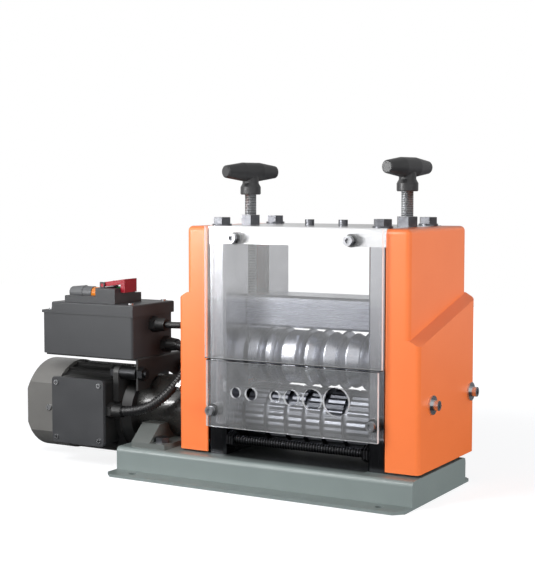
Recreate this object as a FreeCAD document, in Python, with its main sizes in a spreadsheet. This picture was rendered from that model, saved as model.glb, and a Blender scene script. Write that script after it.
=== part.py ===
import FreeCAD, Part
import math
import os
import Sketcher

# Bench wire stripping machine: feed roller and blade roller between two thick side plates, driven by
# a geared motor. X runs along the base with the motor at -X, Y to the rear, Z up. The origin is the
# centre of the bolt holes, on the surface that the base stands on. All lengths are in millimetres.

os.makedirs("parts", exist_ok=True)
doc = FreeCAD.newDocument("WireStripper")
sheet = doc.addObject("Spreadsheet::Sheet", "Sizes")
Vector = FreeCAD.Vector
Rotation = FreeCAD.Rotation
nodes = []
sizeCount = 0


# A size knows its number and the expression over the sheet's cells that gives it.
class Size:
    def __init__(self, text, number):
        self.text = text
        self.number = float(number)

    def __add__(self, other):
        other = asSize(other)
        return Size(f"({self.text} + {other.text})", self.number + other.number)

    def __sub__(self, other):
        other = asSize(other)
        return Size(f"({self.text} - {other.text})", self.number - other.number)

    def __mul__(self, other):
        other = asSize(other)
        return Size(f"({self.text} * {other.text})", self.number * other.number)

    def __truediv__(self, other):
        other = asSize(other)
        return Size(f"({self.text} / {other.text})", self.number / other.number)

    def __radd__(self, other):
        return asSize(other) + self

    def __rsub__(self, other):
        return asSize(other) - self

    def __rmul__(self, other):
        return asSize(other) * self

    def __neg__(self):
        return Size(f"(0 - {self.text})", -self.number)


def asSize(value):
    if isinstance(value, Size):
        return value
    return Size(f"({value})", value)


def size(alias, number):
    global sizeCount
    sizeCount += 1
    sheet.set(f"A{sizeCount}", alias)
    sheet.set(f"B{sizeCount}", str(number))
    sheet.setAlias(f"B{sizeCount}", alias)
    return Size(f"Sizes.{alias}", number)


def smaller(first, second):
    return first if first.number < second.number else second


def larger(first, second):
    return first if first.number > second.number else second


# Clearances
looseFit = size("looseFit", 0.25)
slideFit = size("slideFit", 0.3)
runFit = size("runFit", 0.05)
seatFit = size("seatFit", 0.02)

# Base tray
baseHalf = size("baseHalf", 170.3)
baseDepth = size("baseDepth", 134)
baseHeight = size("baseHeight", 27)
trayWall = size("trayWall", 3)
trayBend = size("trayBend", 5)
frontFlange = size("frontFlange", 25)
rearFlange = size("rearFlange", 18)
flangeCut = size("flangeCut", 9)
boltInset = size("boltInset", 28.6)
boltOut = size("boltOut", 11.5)
baseHoleRadius = size("baseHoleRadius", 4)

# Head: side plates, top plate and their fasteners
headInset = size("headInset", 203.8)
plateGap = size("plateGap", 161)
plateThickness = size("plateThickness", 20)
plateFront = size("plateFront", -47)
plateRear = size("plateRear", 88)
plateHeight = size("plateHeight", 217)
plateEdge = size("plateEdge", 2.5)
topThickness = size("topThickness", 18)
topBoltFront = size("topBoltFront", -36)
topBoltRear = size("topBoltRear", 74)
topBoltRadius = size("topBoltRadius", 5)
topBoltDepth = size("topBoltDepth", 30)
topBoltFlats = size("topBoltFlats", 16.5)
topBoltHead = size("topBoltHead", 6.7)
topWasherRadius = size("topWasherRadius", 10)
topWasherThick = size("topWasherThick", 1.8)
capScrewSpread = size("capScrewSpread", 38.8)
capHeadRadius = size("capHeadRadius", 4.8)
capHeadHeight = size("capHeadHeight", 6)
capShankRadius = size("capShankRadius", 3)
tieRodY = size("tieRodY", -37)
tieRodZ = size("tieRodZ", 42.5)
tieRodRadius = size("tieRodRadius", 4.5)
tieRodInsert = size("tieRodInsert", 12)
tieNutFlats = size("tieNutFlats", 15)
tieNutThick = size("tieNutThick", 7)

# Rollers and gears
feedY = size("feedY", 21)
feedZ = size("feedZ", 62)
gearModule = size("gearModule", 2.5)
gearTeeth = size("gearTeeth", 25)
gearWidth = size("gearWidth", 12)
gearOffset = size("gearOffset", 6)
gearBacklash = size("gearBacklash", 0.3)
feedRadius = size("feedRadius", 32)
feedEndGap = size("feedEndGap", 2)
feedGrooveDepth = size("feedGrooveDepth", 4)
feedGrooveHalf = size("feedGrooveHalf", 3)
fluteDepth = size("fluteDepth", 1)
shaftRadius = size("shaftRadius", 10)
shaftEnd = size("shaftEnd", 5)
feedShaftReach = size("feedShaftReach", 24)
bearingRadius = size("bearingRadius", 21)
bearingWidth = size("bearingWidth", 14)
bladeBearingRadius = size("bladeBearingRadius", 16)
bladeGap = size("bladeGap", 0.4)
bladeWidth = size("bladeWidth", 2)
bladeBevel = size("bladeBevel", 1.6)
collarStep = size("collarStep", 2.2)
collarSlope = size("collarSlope", 6)
bladeEndGap = size("bladeEndGap", 3)

# Blade channels, each with its place from the middle of the head, the half width of the valley at
# the blade, and the radius of its feed hole in the lower guard
channels = [
    (size("channelOneX", -61.9), size("channelOneHalf", 5.5), size("holeOneRadius", 5.5)),
    (size("channelTwoX", -44), size("channelTwoHalf", 7), size("holeTwoRadius", 6.5)),
    (size("channelThreeX", -16.3), size("channelThreeHalf", 6), size("holeThreeRadius", 5.5)),
    (size("channelFourX", 2.2), size("channelFourHalf", 9.5), size("holeFourRadius", 8)),
    (size("channelFiveX", 25.6), size("channelFiveHalf", 13.5), size("holeFiveRadius", 10.5)),
    (size("channelSixX", 51.9), size("channelSixHalf", 17.5), size("holeSixRadius", 14)),
]

# Blade carriage and clamp screws
pressWidth = size("pressWidth", 43.4)
pressBelow = size("pressBelow", 24.5)
pressTop = size("pressTop", 190)
slotBottom = size("slotBottom", 95)
beamBottom = size("beamBottom", 157)
beamFront = size("beamFront", -5)
beamRear = size("beamRear", 47)
beamGap = size("beamGap", 0.5)
screwRadius = size("screwRadius", 6)
screwInsert = size("screwInsert", 16)
clampNutFlats = size("clampNutFlats", 19)
clampNutThick = size("clampNutThick", 10)
leftHubBottom = size("leftHubBottom", 293.4)
rightHubBottom = size("rightHubBottom", 296.9)
hubRadius = size("hubRadius", 10.8)
hubHeight = size("hubHeight", 24)
hubSocket = size("hubSocket", 14)
handleLength = size("handleLength", 72)
handleRadius = size("handleRadius", 9.8)
handleEndRadius = size("handleEndRadius", 6.6)
handleMiddle = size("handleMiddle", 24)
leftHandleTurn = size("leftHandleTurn", -16)
rightHandleTurn = size("rightHandleTurn", -10)

# Covers
coverWall = size("coverWall", 2)
coverFront = size("coverFront", -49.7)
coverRear = size("coverRear", 92)
coverBottom = size("coverBottom", 29.3)
coverTop = size("coverTop", 261.6)
coverLower = size("coverLower", 35)
coverUpper = size("coverUpper", 24.5)
bevelFront = size("bevelFront", 150)
bevelRear = size("bevelRear", 187.5)
bevelRise = size("bevelRise", 6)
bevelInset = size("bevelInset", 0.58)
coverBend = size("coverBend", 5)
postRadius = size("postRadius", 6)
postNearY = size("postNearY", -19)
postFarY = size("postFarY", 81)
postZ = size("postZ", 92.5)
coverScrewRadius = size("coverScrewRadius", 3)
coverScrewDepth = size("coverScrewDepth", 12)
coverHeadRadius = size("coverHeadRadius", 5)
coverHeadHeight = size("coverHeadHeight", 6)
coverWasherRadius = size("coverWasherRadius", 9.5)
coverWasherThick = size("coverWasherThick", 1.8)
neckHole = size("neckHole", 1.2)

# Clear guards
upperGuardHalf = size("upperGuardHalf", 99.5)
upperGuardThick = size("upperGuardThick", 3)
upperGuardBottom = size("upperGuardBottom", 126.8)
upperGuardTop = size("upperGuardTop", 261.5)
upperSpacer = size("upperSpacer", 6)
upperScrewSpread = size("upperScrewSpread", 130)
upperScrewZ = size("upperScrewZ", 250)
lowerGuardHalf = size("lowerGuardHalf", 96.5)
lowerGuardThick = size("lowerGuardThick", 3.5)
lowerGuardBottom = size("lowerGuardBottom", 57.5)
lowerSpacer = size("lowerSpacer", 8)
lowerScrewZ = size("lowerScrewZ", 74)
guardSlit = size("guardSlit", 0.8)
feedHoleZ = size("feedHoleZ", 94)
spacerRadius = size("spacerRadius", 6.5)
guardScrewRadius = size("guardScrewRadius", 2.5)
guardScrewDepth = size("guardScrewDepth", 10)
guardHeadRadius = size("guardHeadRadius", 4.7)
guardHeadHeight = size("guardHeadHeight", 4.5)

# Motor and gearhead
motorZ = size("motorZ", 56)
motorRadius = size("motorRadius", 46)
finHeight = size("finHeight", 3)
finThick = size("finThick", 2.2)
motorFlat = size("motorFlat", 39.5)
motorGap = size("motorGap", 18.2)
motorLength = size("motorLength", 111.5)
fanReach = size("fanReach", 13)
fanRadius = size("fanRadius", 50)
fanRim = size("fanRim", 4)
fanWall = size("fanWall", 2.5)
fanOverlap = size("fanOverlap", 30)
fanScrewInset = size("fanScrewInset", 12)
fanScrewRadius = size("fanScrewRadius", 3.2)
fanScrewHead = size("fanScrewHead", 1.6)
finStart = size("finStart", 2)
shieldLength = size("shieldLength", 16.5)
shieldStep = size("shieldStep", 7)
shieldTaper = size("shieldTaper", 2.5)
earY = size("earY", 40)
earZ = size("earZ", 102)
earRadius = size("earRadius", 8)
barrelY = size("barrelY", 6)
barrelZ = size("barrelZ", 62.5)
barrelRadius = size("barrelRadius", 34)
barrelGap = size("barrelGap", 37)
barrelRound = size("barrelRound", 4)
neckRadius = size("neckRadius", 22)
gearFlangeThick = size("gearFlangeThick", 10)
gearFlangeRadius = size("gearFlangeRadius", 35)
gearFlangeBolts = size("gearFlangeBolts", 28.5)
gearBoltRadius = size("gearBoltRadius", 3)
gearBoltHead = size("gearBoltHead", 4.8)
footInset = size("footInset", 14.3)
footWidth = size("footWidth", 23)
footPadWidth = size("footPadWidth", 19)
footToe = size("footToe", -60)
footHeel = size("footHeel", 62)
footPad = size("footPad", 5.5)
footTop = size("footTop", 50)
footSlope = size("footSlope", 20)
footBoltReach = size("footBoltReach", 31)
footBoltInset = size("footBoltInset", 13)
footBoltRadius = size("footBoltRadius", 4)
footBoltFlats = size("footBoltFlats", 13)
footBoltHead = size("footBoltHead", 5.5)

# Terminal box on the motor
terminalWidth = size("terminalWidth", 69.6)
terminalBottom = size("terminalBottom", 24)
terminalTop = size("terminalTop", 95.6)
terminalFront = size("terminalFront", -66)
terminalLidThick = size("terminalLidThick", 4)
terminalDepth = size("terminalDepth", 31)
terminalRound = size("terminalRound", 4)
terminalScrewInset = size("terminalScrewInset", 6)
terminalScrewRadius = size("terminalScrewRadius", 2.6)
terminalGlandY = size("terminalGlandY", -54)
terminalGlandZ = size("terminalGlandZ", 62)
glandFlats = size("glandFlats", 15.5)
glandNut = size("glandNut", 7)
glandLength = size("glandLength", 18)
glandDomeRadius = size("glandDomeRadius", 7.1)

# Switch box, its bracket and the switch
bracketWall = size("bracketWall", 2.5)
bracketTop = size("bracketTop", 118.5)
bracketReach = size("bracketReach", 30)
bracketLength = size("bracketLength", 124.5)
bracketFront = size("bracketFront", -44)
bracketRear = size("bracketRear", 46)
bracketDrop = size("bracketDrop", 84)
archGap = size("archGap", 3)
bracketBoltRadius = size("bracketBoltRadius", 4)
bracketNutFlats = size("bracketNutFlats", 13)
bracketNutThick = size("bracketNutThick", 6.5)
bushRadius = size("bushRadius", 7)
boxLength = size("boxLength", 122)
boxFront = size("boxFront", -50)
boxRear = size("boxRear", 25)
boxHeight = size("boxHeight", 45)
boxRound = size("boxRound", 3)
lidHeight = size("lidHeight", 12.5)
lidStep = size("lidStep", 14)
lidCove = size("lidCove", 9)
lidLip = size("lidLip", 1.4)
lidScrewInset = size("lidScrewInset", 7)
lidScrewRadius = size("lidScrewRadius", 3)
switchInset = size("switchInset", 26)
switchLength = size("switchLength", 68)
switchBlock = size("switchBlock", 26)
switchFront = size("switchFront", -46)
switchRear = size("switchRear", 2.8)
switchHeight = size("switchHeight", 16.5)
switchStep = size("switchStep", 10)
switchStepY = size("switchStepY", -8.5)
switchSlope = size("switchSlope", 2.5)
switchRound = size("switchRound", 1.5)
switchSeat = size("switchSeat", 4)
plinthHeight = size("plinthHeight", 7)
knobRadius = size("knobRadius", 8)
knobRise = size("knobRise", 9.3)
knobLength = size("knobLength", 31)
knobRibs = size("knobRibs", 19)
lampLength = size("lampLength", 17)
paddleY = size("paddleY", -25)
paddleWidth = size("paddleWidth", 22)
paddleReach = size("paddleReach", 6)
paddleHeel = size("paddleHeel", 1.4)
paddleTop = size("paddleTop", 2.8)
paddleUnder = size("paddleUnder", 1.6)
paddleLift = size("paddleLift", 4.6)
paddleLip = size("paddleLip", 4.5)
paddlePinInset = size("paddlePinInset", 3)
paddlePinRadius = size("paddlePinRadius", 2)
paddlePinRise = size("paddlePinRise", 2.7)
pinEarThick = size("pinEarThick", 1.6)
pinEarTop = size("pinEarTop", 3.4)
buttonRadius = size("buttonRadius", 5)
buttonRise = size("buttonRise", 0.4)
buttonHeight = size("buttonHeight", 3.3)
buttonSocket = size("buttonSocket", 5)
buttonFirst = size("buttonFirst", 7)
buttonSecond = size("buttonSecond", 19)
cordGlandY = size("cordGlandY", -12.5)
cordGlandZ = size("cordGlandZ", 153)
leadGlandY = size("leadGlandY", 9)
leadGlandZ = size("leadGlandZ", 129.5)

# Cords
leadRadius = size("leadRadius", 5.6)
cordRadius = size("cordRadius", 3.6)
coilReach = size("coilReach", 127)
coilY = size("coilY", 152)
coilMiddle = size("coilMiddle", 40)
coilAcross = size("coilAcross", 3)
coilLayers = size("coilLayers", 2)
plugLength = size("plugLength", 40)
plugWidth = size("plugWidth", 27)
plugThick = size("plugThick", 20)
plugRound = size("plugRound", 3)
plugSleeve = size("plugSleeve", 24)
pinLength = size("pinLength", 17)
pinSpacing = size("pinSpacing", 12.7)
pinThick = size("pinThick", 1.5)
earthRadius = size("earthRadius", 2.4)

# Worked out places
plateBottom = baseHeight
plateTop = plateBottom + plateHeight
topTop = plateTop + topThickness
plateInner = plateGap / 2
plateOuter = plateInner + plateThickness
plateMiddle = plateInner + plateThickness / 2
pitchRadius = gearModule * gearTeeth / 2
bladeZ = feedZ + pitchRadius * 2
bladeRadius = pitchRadius * 2 - feedRadius - bladeGap
collarRadius = bladeRadius - collarStep
slotHalf = pressWidth / 2 + slideFit
coverMiddle = (coverFront + coverRear) / 2
boxBottom = bracketTop
boxTop = boxBottom + boxHeight
lidTop = boxTop + lidHeight
headX = headInset - baseHalf
leftPlate = (headX - plateOuter, headX - plateInner)
rightPlate = (headX + plateInner, headX + plateOuter)
boltSpacingX = (baseHalf - boltInset) * 2
boltSpacingY = baseDepth + boltOut * 2
motorRight = -baseHalf - motorGap
motorLeft = motorRight - motorLength
fanLeft = motorLeft - fanReach
fanMouth = motorLeft + fanOverlap
finLeft = fanMouth + finStart
finRight = motorRight - finStart * 3
shieldRight = motorRight + shieldLength
neckRight = headX - plateOuter - gearFlangeThick
barrelRight = headX - plateOuter - barrelGap
footLeft = footInset - baseHalf
footRight = footLeft + footWidth
footPadRight = footRight + footPadWidth
footBoltX = footLeft + footBoltReach
terminalRight = motorRight + 0.1
terminalLeft = terminalRight - terminalWidth
bracketRight = motorRight + bracketReach
bracketLeft = bracketRight - bracketLength
boxRight = bracketRight - bracketWall
boxLeft = boxRight - boxLength
switchRight = boxRight - switchInset
switchLeft = switchRight - switchLength
blockLeft = switchRight - switchBlock
switchTop = lidTop + switchHeight
knobZ = lidTop + knobRise
knobRight = blockLeft - lampLength
pinX = blockLeft + paddlePinInset
pinZ = switchTop + paddlePinRise
coilX = boxRight + coilReach


def bind(item, field, value):
    item.setExpression(field, asSize(value).text)


def moveTo(item, x, y, z):
    bind(item, "Placement.Base.x", x)
    bind(item, "Placement.Base.y", y)
    bind(item, "Placement.Base.z", z)


def keep(label, item):
    item.Label = label
    nodes.append(item)
    return item


def block(name, x, y, z):
    item = doc.addObject("Part::Box", name)
    bind(item, "Length", x[1] - x[0])
    bind(item, "Width", y[1] - y[0])
    bind(item, "Height", z[1] - z[0])
    moveTo(item, x[0], y[0], z[0])
    return item


# Turns a piece that is drawn along Z so that it runs along the named axis, and puts it there. The
# centre is (y, z) for an axis along x, (x, z) along y and (x, y) along z.
def layAlong(item, axis, start, centre):
    first, second = centre
    if axis == "x":
        item.Placement = FreeCAD.Placement(Vector(), Rotation(Vector(0, 1, 0), 90))
        moveTo(item, start, first, second)
    elif axis == "y":
        item.Placement = FreeCAD.Placement(Vector(), Rotation(Vector(1, 0, 0), -90))
        moveTo(item, first, start, second)
    else:
        moveTo(item, first, second, start)


def rod(name, axis, along, centre, radius):
    item = doc.addObject("Part::Cylinder", name)
    bind(item, "Radius", radius)
    bind(item, "Height", along[1] - along[0])
    layAlong(item, axis, along[0], centre)
    return item


def cone(name, axis, along, centre, startRadius, endRadius):
    item = doc.addObject("Part::Cone", name)
    bind(item, "Radius1", startRadius)
    bind(item, "Radius2", endRadius)
    bind(item, "Height", along[1] - along[0])
    layAlong(item, axis, along[0], centre)
    return item


def hexagon(name, axis, along, centre, flats):
    item = doc.addObject("Part::Prism", name)
    item.Polygon = 6
    bind(item, "Circumradius", flats / math.sqrt(3))
    bind(item, "Height", along[1] - along[0])
    layAlong(item, axis, along[0], centre)
    return item


def fused(name, pieces):
    item = doc.addObject("Part::MultiFuse", name)
    item.Shapes = pieces
    item.Refine = True
    return item


def cut(name, base, tools):
    item = doc.addObject("Part::Cut", name)
    item.Base = base
    item.Tool = tools[0] if len(tools) == 1 else fused(name + "Tools", tools)
    item.Refine = True
    return item


def common(name, first, second):
    item = doc.addObject("Part::Common", name)
    item.Base = first
    item.Tool = second
    item.Refine = True
    return item


def group(name, pieces):
    item = doc.addObject("Part::Compound", name)
    item.Links = pieces
    return item


def bodyPlane(body, role):
    for feature in body.Origin.OriginFeatures:
        if feature.Role == role:
            return feature
    raise ValueError(role)


# A closed outline of straight lines on one of the body's own planes, every corner set by two sizes
def outline(body, name, role, points, offset=None):
    sketch = body.newObject("Sketcher::SketchObject", name)
    sketch.AttachmentSupport = [(bodyPlane(body, role), "")]
    sketch.MapMode = "FlatFace"
    if offset is not None:
        bind(sketch, "AttachmentOffset.Base.z", offset)
    points = [(asSize(a), asSize(b)) for a, b in points]
    count = len(points)
    for index in range(count):
        start = Vector(points[index][0].number, points[index][1].number, 0)
        after = points[(index + 1) % count]
        end = Vector(after[0].number, after[1].number, 0)
        sketch.addGeometry(Part.LineSegment(start, end), False)
    for index in range(count):
        sketch.addConstraint(Sketcher.Constraint("Coincident", index, 2, (index + 1) % count, 1))
    for index, corner in enumerate(points):
        for kind, value in zip(("DistanceX", "DistanceY"), corner):
            rule = sketch.addConstraint(Sketcher.Constraint(kind, -1, 1, index, 1, value.number))
            sketch.setExpression(f"Constraints[{rule}]", value.text)
    sketch.Visibility = False
    return sketch


def newBody(name):
    return doc.addObject("PartDesign::Body", name)


def pad(body, name, sketch, length):
    item = body.newObject("PartDesign::Pad", name)
    item.Profile = sketch
    bind(item, "Length", length)
    return item


# A body of one outline, drawn across X or Y and as long as the given range
def slab(name, axis, points, along):
    body = newBody(name)
    if axis == "x":
        sketch = outline(body, name + "Outline", "YZ_Plane", points, along[0])
    elif axis == "y":
        sketch = outline(body, name + "Outline", "XZ_Plane", points, -asSize(along[1]))
    else:
        sketch = outline(body, name + "Outline", "XY_Plane", points, along[0])
    pad(body, name + "Pad", sketch, along[1] - along[0])
    return body


# A turned body: its points are (place along the axis, radius)
def turned(name, axis, points, centre):
    body = newBody(name)
    sketch = outline(body, name + "Outline", "XY_Plane", points)
    turn = body.newObject("PartDesign::Revolution", name + "Turn")
    turn.Profile = sketch
    turn.ReferenceAxis = (sketch, ["H_Axis"])
    turn.Angle = 360
    if axis == "y":
        body.Placement = FreeCAD.Placement(Vector(), Rotation(Vector(0, 0, 1), 90))
        moveTo(body, centre[0], 0, centre[1])
    elif axis == "z":
        body.Placement = FreeCAD.Placement(Vector(), Rotation(Vector(0, 1, 0), -90))
        moveTo(body, centre[0], centre[1], 0)
    else:
        moveTo(body, 0, centre[0], centre[1])
    return body


# Rounds or chamfers the edges of a body that the chooser accepts
def dress(body, kind, name, amount, chooser):
    doc.recompute()
    tip = body.Tip
    chosen = []
    for index, edge in enumerate(tip.Shape.Edges, start=1):
        if chooser(edge):
            chosen.append(f"Edge{index}")
    item = body.newObject("PartDesign::" + kind, name)
    item.Base = (tip, chosen)
    bind(item, "Radius" if kind == "Fillet" else "Size", amount)
    return item


def near(first, second):
    return abs(first - asSize(second).number) < 0.01


def middle(edge):
    return edge.BoundBox.Center


def runsAlong(edge, axis):
    lengths = (edge.BoundBox.XLength, edge.BoundBox.YLength, edge.BoundBox.ZLength)
    return all(length < 0.01 for place, length in enumerate(lengths) if place != axis)


# Socket head screw along an axis: the head sits outside, towards the given side of the seat
def capScrew(name, axis, seat, side, centre, sizes):
    headRadius, headHeight, shank, depth = sizes
    if side > 0:
        head = (seat, seat + headHeight)
        stem = (seat - depth, seat)
        socket = (seat + headHeight / 2, seat + headHeight + 1)
    else:
        head = (seat - headHeight, seat)
        stem = (seat, seat + depth)
        socket = (seat - headHeight - 1, seat - headHeight / 2)
    whole = fused(name + "Blank", [
        rod(name + "Head", axis, head, centre, headRadius),
        rod(name + "Stem", axis, stem, centre, shank),
    ])
    return cut(name, whole, [hexagon(name + "Socket", axis, socket, centre, headRadius)])


def washer(name, axis, along, centre, outer, inner):
    return cut(name, rod(name + "Disc", axis, along, centre, outer),
               [rod(name + "Hole", axis, (along[0] - 1, along[1] + 1), centre, inner)])


def hexNut(name, axis, along, centre, flats, inner):
    return cut(name, hexagon(name + "Body", axis, along, centre, flats),
               [rod(name + "Thread", axis, (along[0] - 1, along[1] + 1), centre, inner)])


# ---- Base tray: folded sheet, closed at its ends, with a bolting flange along the front and rear
def makeBaseTray():
    front = -baseDepth / 2
    rear = baseDepth / 2
    top = baseHeight
    tray = slab("BaseTray", "x", [
        (front - frontFlange, 0), (front + trayWall, 0), (front + trayWall, top - trayWall),
        (rear - trayWall, top - trayWall), (rear - trayWall, 0), (rear + rearFlange, 0),
        (rear + rearFlange, trayWall), (rear, trayWall), (rear, top), (front, top),
        (front, trayWall), (front - frontFlange, trayWall),
    ], (-baseHalf, baseHalf))
    dress(tray, "Chamfer", "FlangeCorners", flangeCut,
          lambda edge: runsAlong(edge, 2) and (near(middle(edge).y, front - frontFlange)
                                               or near(middle(edge).y, rear + rearFlange)))
    dress(tray, "Fillet", "TrayBends", trayBend,
          lambda edge: runsAlong(edge, 0) and near(middle(edge).z, top))
    ends = []
    for name, x in (("LeftEnd", (-baseHalf, trayWall - baseHalf)),
                    ("RightEnd", (baseHalf - trayWall, baseHalf))):
        ends.append(block(name, x, (front + trayWall, rear - trayWall), (asSize(0), top - trayWall)))
    holes = []
    for index, (sideX, sideY) in enumerate(((-1, -1), (1, -1), (1, 1), (-1, 1))):
        centre = (boltSpacingX / 2 * sideX, boltSpacingY / 2 * sideY)
        holes.append(rod(f"BaseHole{index}", "z", (asSize(-1), trayWall + 1), centre, baseHoleRadius))
    for index, y in enumerate((footToe + footBoltInset, footHeel - footBoltInset)):
        holes.append(rod(f"FootHole{index}", "z", (top - trayWall - 1, top + 1), (footBoltX, y),
                         footBoltRadius + looseFit))
    keep("base_tray", cut("TrayDrilled", fused("TrayClosed", [tray] + ends), holes))


# ---- Side plates, each open at the top for the block that carries the blade roller's bearing
def makeSidePlate(label, name, x, side):
    plate = slab(name, "x", [
        (plateFront, plateBottom), (plateRear, plateBottom), (plateRear, plateTop),
        (feedY + slotHalf, plateTop), (feedY + slotHalf, slotBottom),
        (feedY - slotHalf, slotBottom), (feedY - slotHalf, plateTop), (plateFront, plateTop),
    ], x)
    dress(plate, "Chamfer", name + "Edges", plateEdge,
          lambda edge: runsAlong(edge, 2) and (near(middle(edge).y, plateFront)
                                               or near(middle(edge).y, plateRear)))
    through = (x[0] - 1, x[1] + 1)
    inner = headX + plateInner * side
    outer = headX + plateOuter * side
    tools = [rod(name + "Bore", "x", through, (feedY, feedZ), bearingRadius + seatFit)]
    if side < 0:
        tieHole = (inner - tieRodInsert, inner + 1)
        postHole = (outer - 1, outer + coverScrewDepth)
    else:
        tieHole = (inner - 1, inner + tieRodInsert)
        postHole = (outer - coverScrewDepth, outer + 1)
    tools.append(rod(name + "TieHole", "x", tieHole, (tieRodY, tieRodZ), tieRodRadius + seatFit))
    for index, y in enumerate((topBoltFront, topBoltRear)):
        centre = (headX + plateMiddle * side, y)
        tools.append(rod(f"{name}BoltHole{index}", "z", (plateTop - topBoltDepth, plateTop + 1),
                         centre, topBoltRadius + looseFit))
    guardHole = (plateFront - 1, plateFront + guardScrewDepth)
    tools.append(rod(name + "GuardHole", "y", guardHole, (headX + plateMiddle * side, lowerScrewZ),
                     guardScrewRadius + looseFit))
    if side < 0:
        for index in range(3):
            tools.append(rod(f"{name}GearHole{index}", "x", (outer - 1, outer + 13),
                             gearFlangeCentre(index), gearBoltRadius + looseFit))
    keep(label, cut(name + "Bored", plate, tools))


def gearFlangeCentre(index):
    angle = math.radians(90 + 120 * index)
    return (feedY + gearFlangeBolts * math.cos(angle), feedZ + gearFlangeBolts * math.sin(angle))


def makeTopPlate():
    plate = slab("TopPlate", "z", [
        (headX - plateOuter, plateFront), (headX + plateOuter, plateFront),
        (headX + plateOuter, plateRear), (headX - plateOuter, plateRear),
    ], (plateTop, topTop))
    dress(plate, "Chamfer", "TopPlateEdges", plateEdge / 2,
          lambda edge: near(edge.BoundBox.ZMin, topTop))
    through = (plateTop - 1, topTop + 1)
    tools = []
    bolts = []
    washers = []
    washerTop = topTop + topWasherThick
    for index, (side, y) in enumerate(((-1, topBoltFront), (1, topBoltFront),
                                       (1, topBoltRear), (-1, topBoltRear))):
        centre = (headX + plateMiddle * side, y)
        tools.append(rod(f"TopBoltHole{index}", "z", through, centre, topBoltRadius + looseFit))
        washers.append(washer(f"TopWasher{index}", "z", (topTop, washerTop), centre,
                              topWasherRadius, topBoltRadius + looseFit))
        bolts.append(fused(f"TopBolt{index}", [
            hexagon(f"TopBoltHead{index}", "z", (washerTop, washerTop + topBoltHead), centre,
                    topBoltFlats),
            rod(f"TopBoltStem{index}", "z", (plateTop - topBoltDepth + 1, washerTop), centre,
                topBoltRadius),
        ]))
    for index, side in enumerate((-1, 1)):
        tools.append(rod(f"ClampHole{index}", "z", through, (headX + plateMiddle * side, feedY),
                         screwRadius + looseFit * 2))
    caps = []
    for index, side in enumerate((-1, 1)):
        centre = (headX + capScrewSpread / 2 * side, feedY)
        tools.append(rod(f"CapHole{index}", "z", through, centre, capShankRadius + looseFit))
        caps.append(capScrew(f"TopCap{index}", "z", topTop, 1, centre,
                             (capHeadRadius, capHeadHeight, capShankRadius, topThickness)))
        centre = (headX + upperScrewSpread / 2 * side, upperScrewZ)
        tools.append(rod(f"UpperScrewHole{index}", "y", (plateFront - 1, plateFront + guardScrewDepth),
                         centre, guardScrewRadius + looseFit))
    keep("top_plate", cut("TopPlateDrilled", plate, tools))
    keep("top_bolts", group("TopBolts", bolts + washers))
    keep("top_cap_screws", group("TopCapScrews", caps))


def makeTieRod():
    left = headX - plateInner
    right = headX + plateInner
    centre = (tieRodY, tieRodZ)
    keep("front_tie_rod", group("TieRodSet", [
        rod("TieRod", "x", (left - tieRodInsert + 1, right + tieRodInsert - 1), centre, tieRodRadius),
        hexNut("TieNutLeft", "x", (left, left + tieNutThick), centre, tieNutFlats,
               tieRodRadius + seatFit),
        hexNut("TieNutRight", "x", (right - tieNutThick, right), centre, tieNutFlats,
               tieRodRadius + seatFit),
    ]))


# ---- Folded covers: one form, the left one turned half round about the middle of the head. The form
# is drawn about that middle: a deep lower part, cut off by a slanting bevel, and a shallower upper part
def coverForm(name, inset, reach, foot):
    deep = (coverRear - coverFront) / 2 - inset
    low = plateOuter + coverLower - inset
    high = plateOuter + coverUpper - inset
    top = coverTop - inset
    lower = slab(name + "Lower", "z", [(reach, -deep), (low, -deep), (low, deep), (reach, deep)],
                 (foot, top))
    dress(lower, "Fillet", name + "LowerBends", coverBend - inset,
          lambda edge: runsAlong(edge, 2) and near(middle(edge).x, low))
    upper = slab(name + "Upper", "z", [(reach, -deep), (high, -deep), (high, deep), (reach, deep)],
                 (foot, top))
    dress(upper, "Fillet", name + "UpperBends", coverBend - inset,
          lambda edge: runsAlong(edge, 2) and near(middle(edge).x, high))
    dress(upper, "Fillet", name + "TopBends", coverBend - inset,
          lambda edge: near(edge.BoundBox.ZMin, top) and not near(edge.BoundBox.XMax, reach))
    above = newBody(name + "Above")
    beyond = low + 10
    drop = bevelRise * 10 / (coverLower - coverUpper)

    def section(bevel):
        return [(reach - 1, bevel + bevelRise), (high, bevel + bevelRise), (beyond, bevel - drop),
                (beyond, top + 10), (reach - 1, top + 10)]
    sink = inset * bevelInset
    front = outline(above, name + "AboveFront", "XZ_Plane", section(bevelFront - sink), deep + 1)
    rear = outline(above, name + "AboveRear", "XZ_Plane", section(bevelRear - sink), -deep - 1)
    loft = above.newObject("PartDesign::AdditiveLoft", name + "AboveLoft")
    loft.Profile = front
    loft.Sections = [rear]
    loft.Ruled = True
    return fused(name, [cut(name + "Shoulder", lower, [above]), upper])


def makeCover(label, name, side):
    outside = coverForm(name + "Outside", asSize(0), plateOuter + seatFit, coverBottom)
    inside = coverForm(name + "Inside", coverWall, plateOuter - 1, coverBottom - 1)
    outer = plateOuter + coverLower
    wall = (outer - coverWall * 2, outer + 1)
    tools = [inside]
    for index, y in enumerate(postPlaces(1)):
        tools.append(rod(f"{name}ScrewHole{index}", "x", wall, (y - coverMiddle, postZ),
                         coverScrewRadius + looseFit))
    if side < 0:
        tools.append(rod(name + "NeckHole", "x", wall, (coverMiddle - feedY, feedZ),
                         neckRadius + neckHole))
    cover = cut(name + "Pierced", outside, tools)
    if side < 0:
        cover.Placement = FreeCAD.Placement(Vector(), Rotation(Vector(0, 0, 1), 180))
    moveTo(cover, headX, coverMiddle, 0)
    keep(label, cover)


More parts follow.
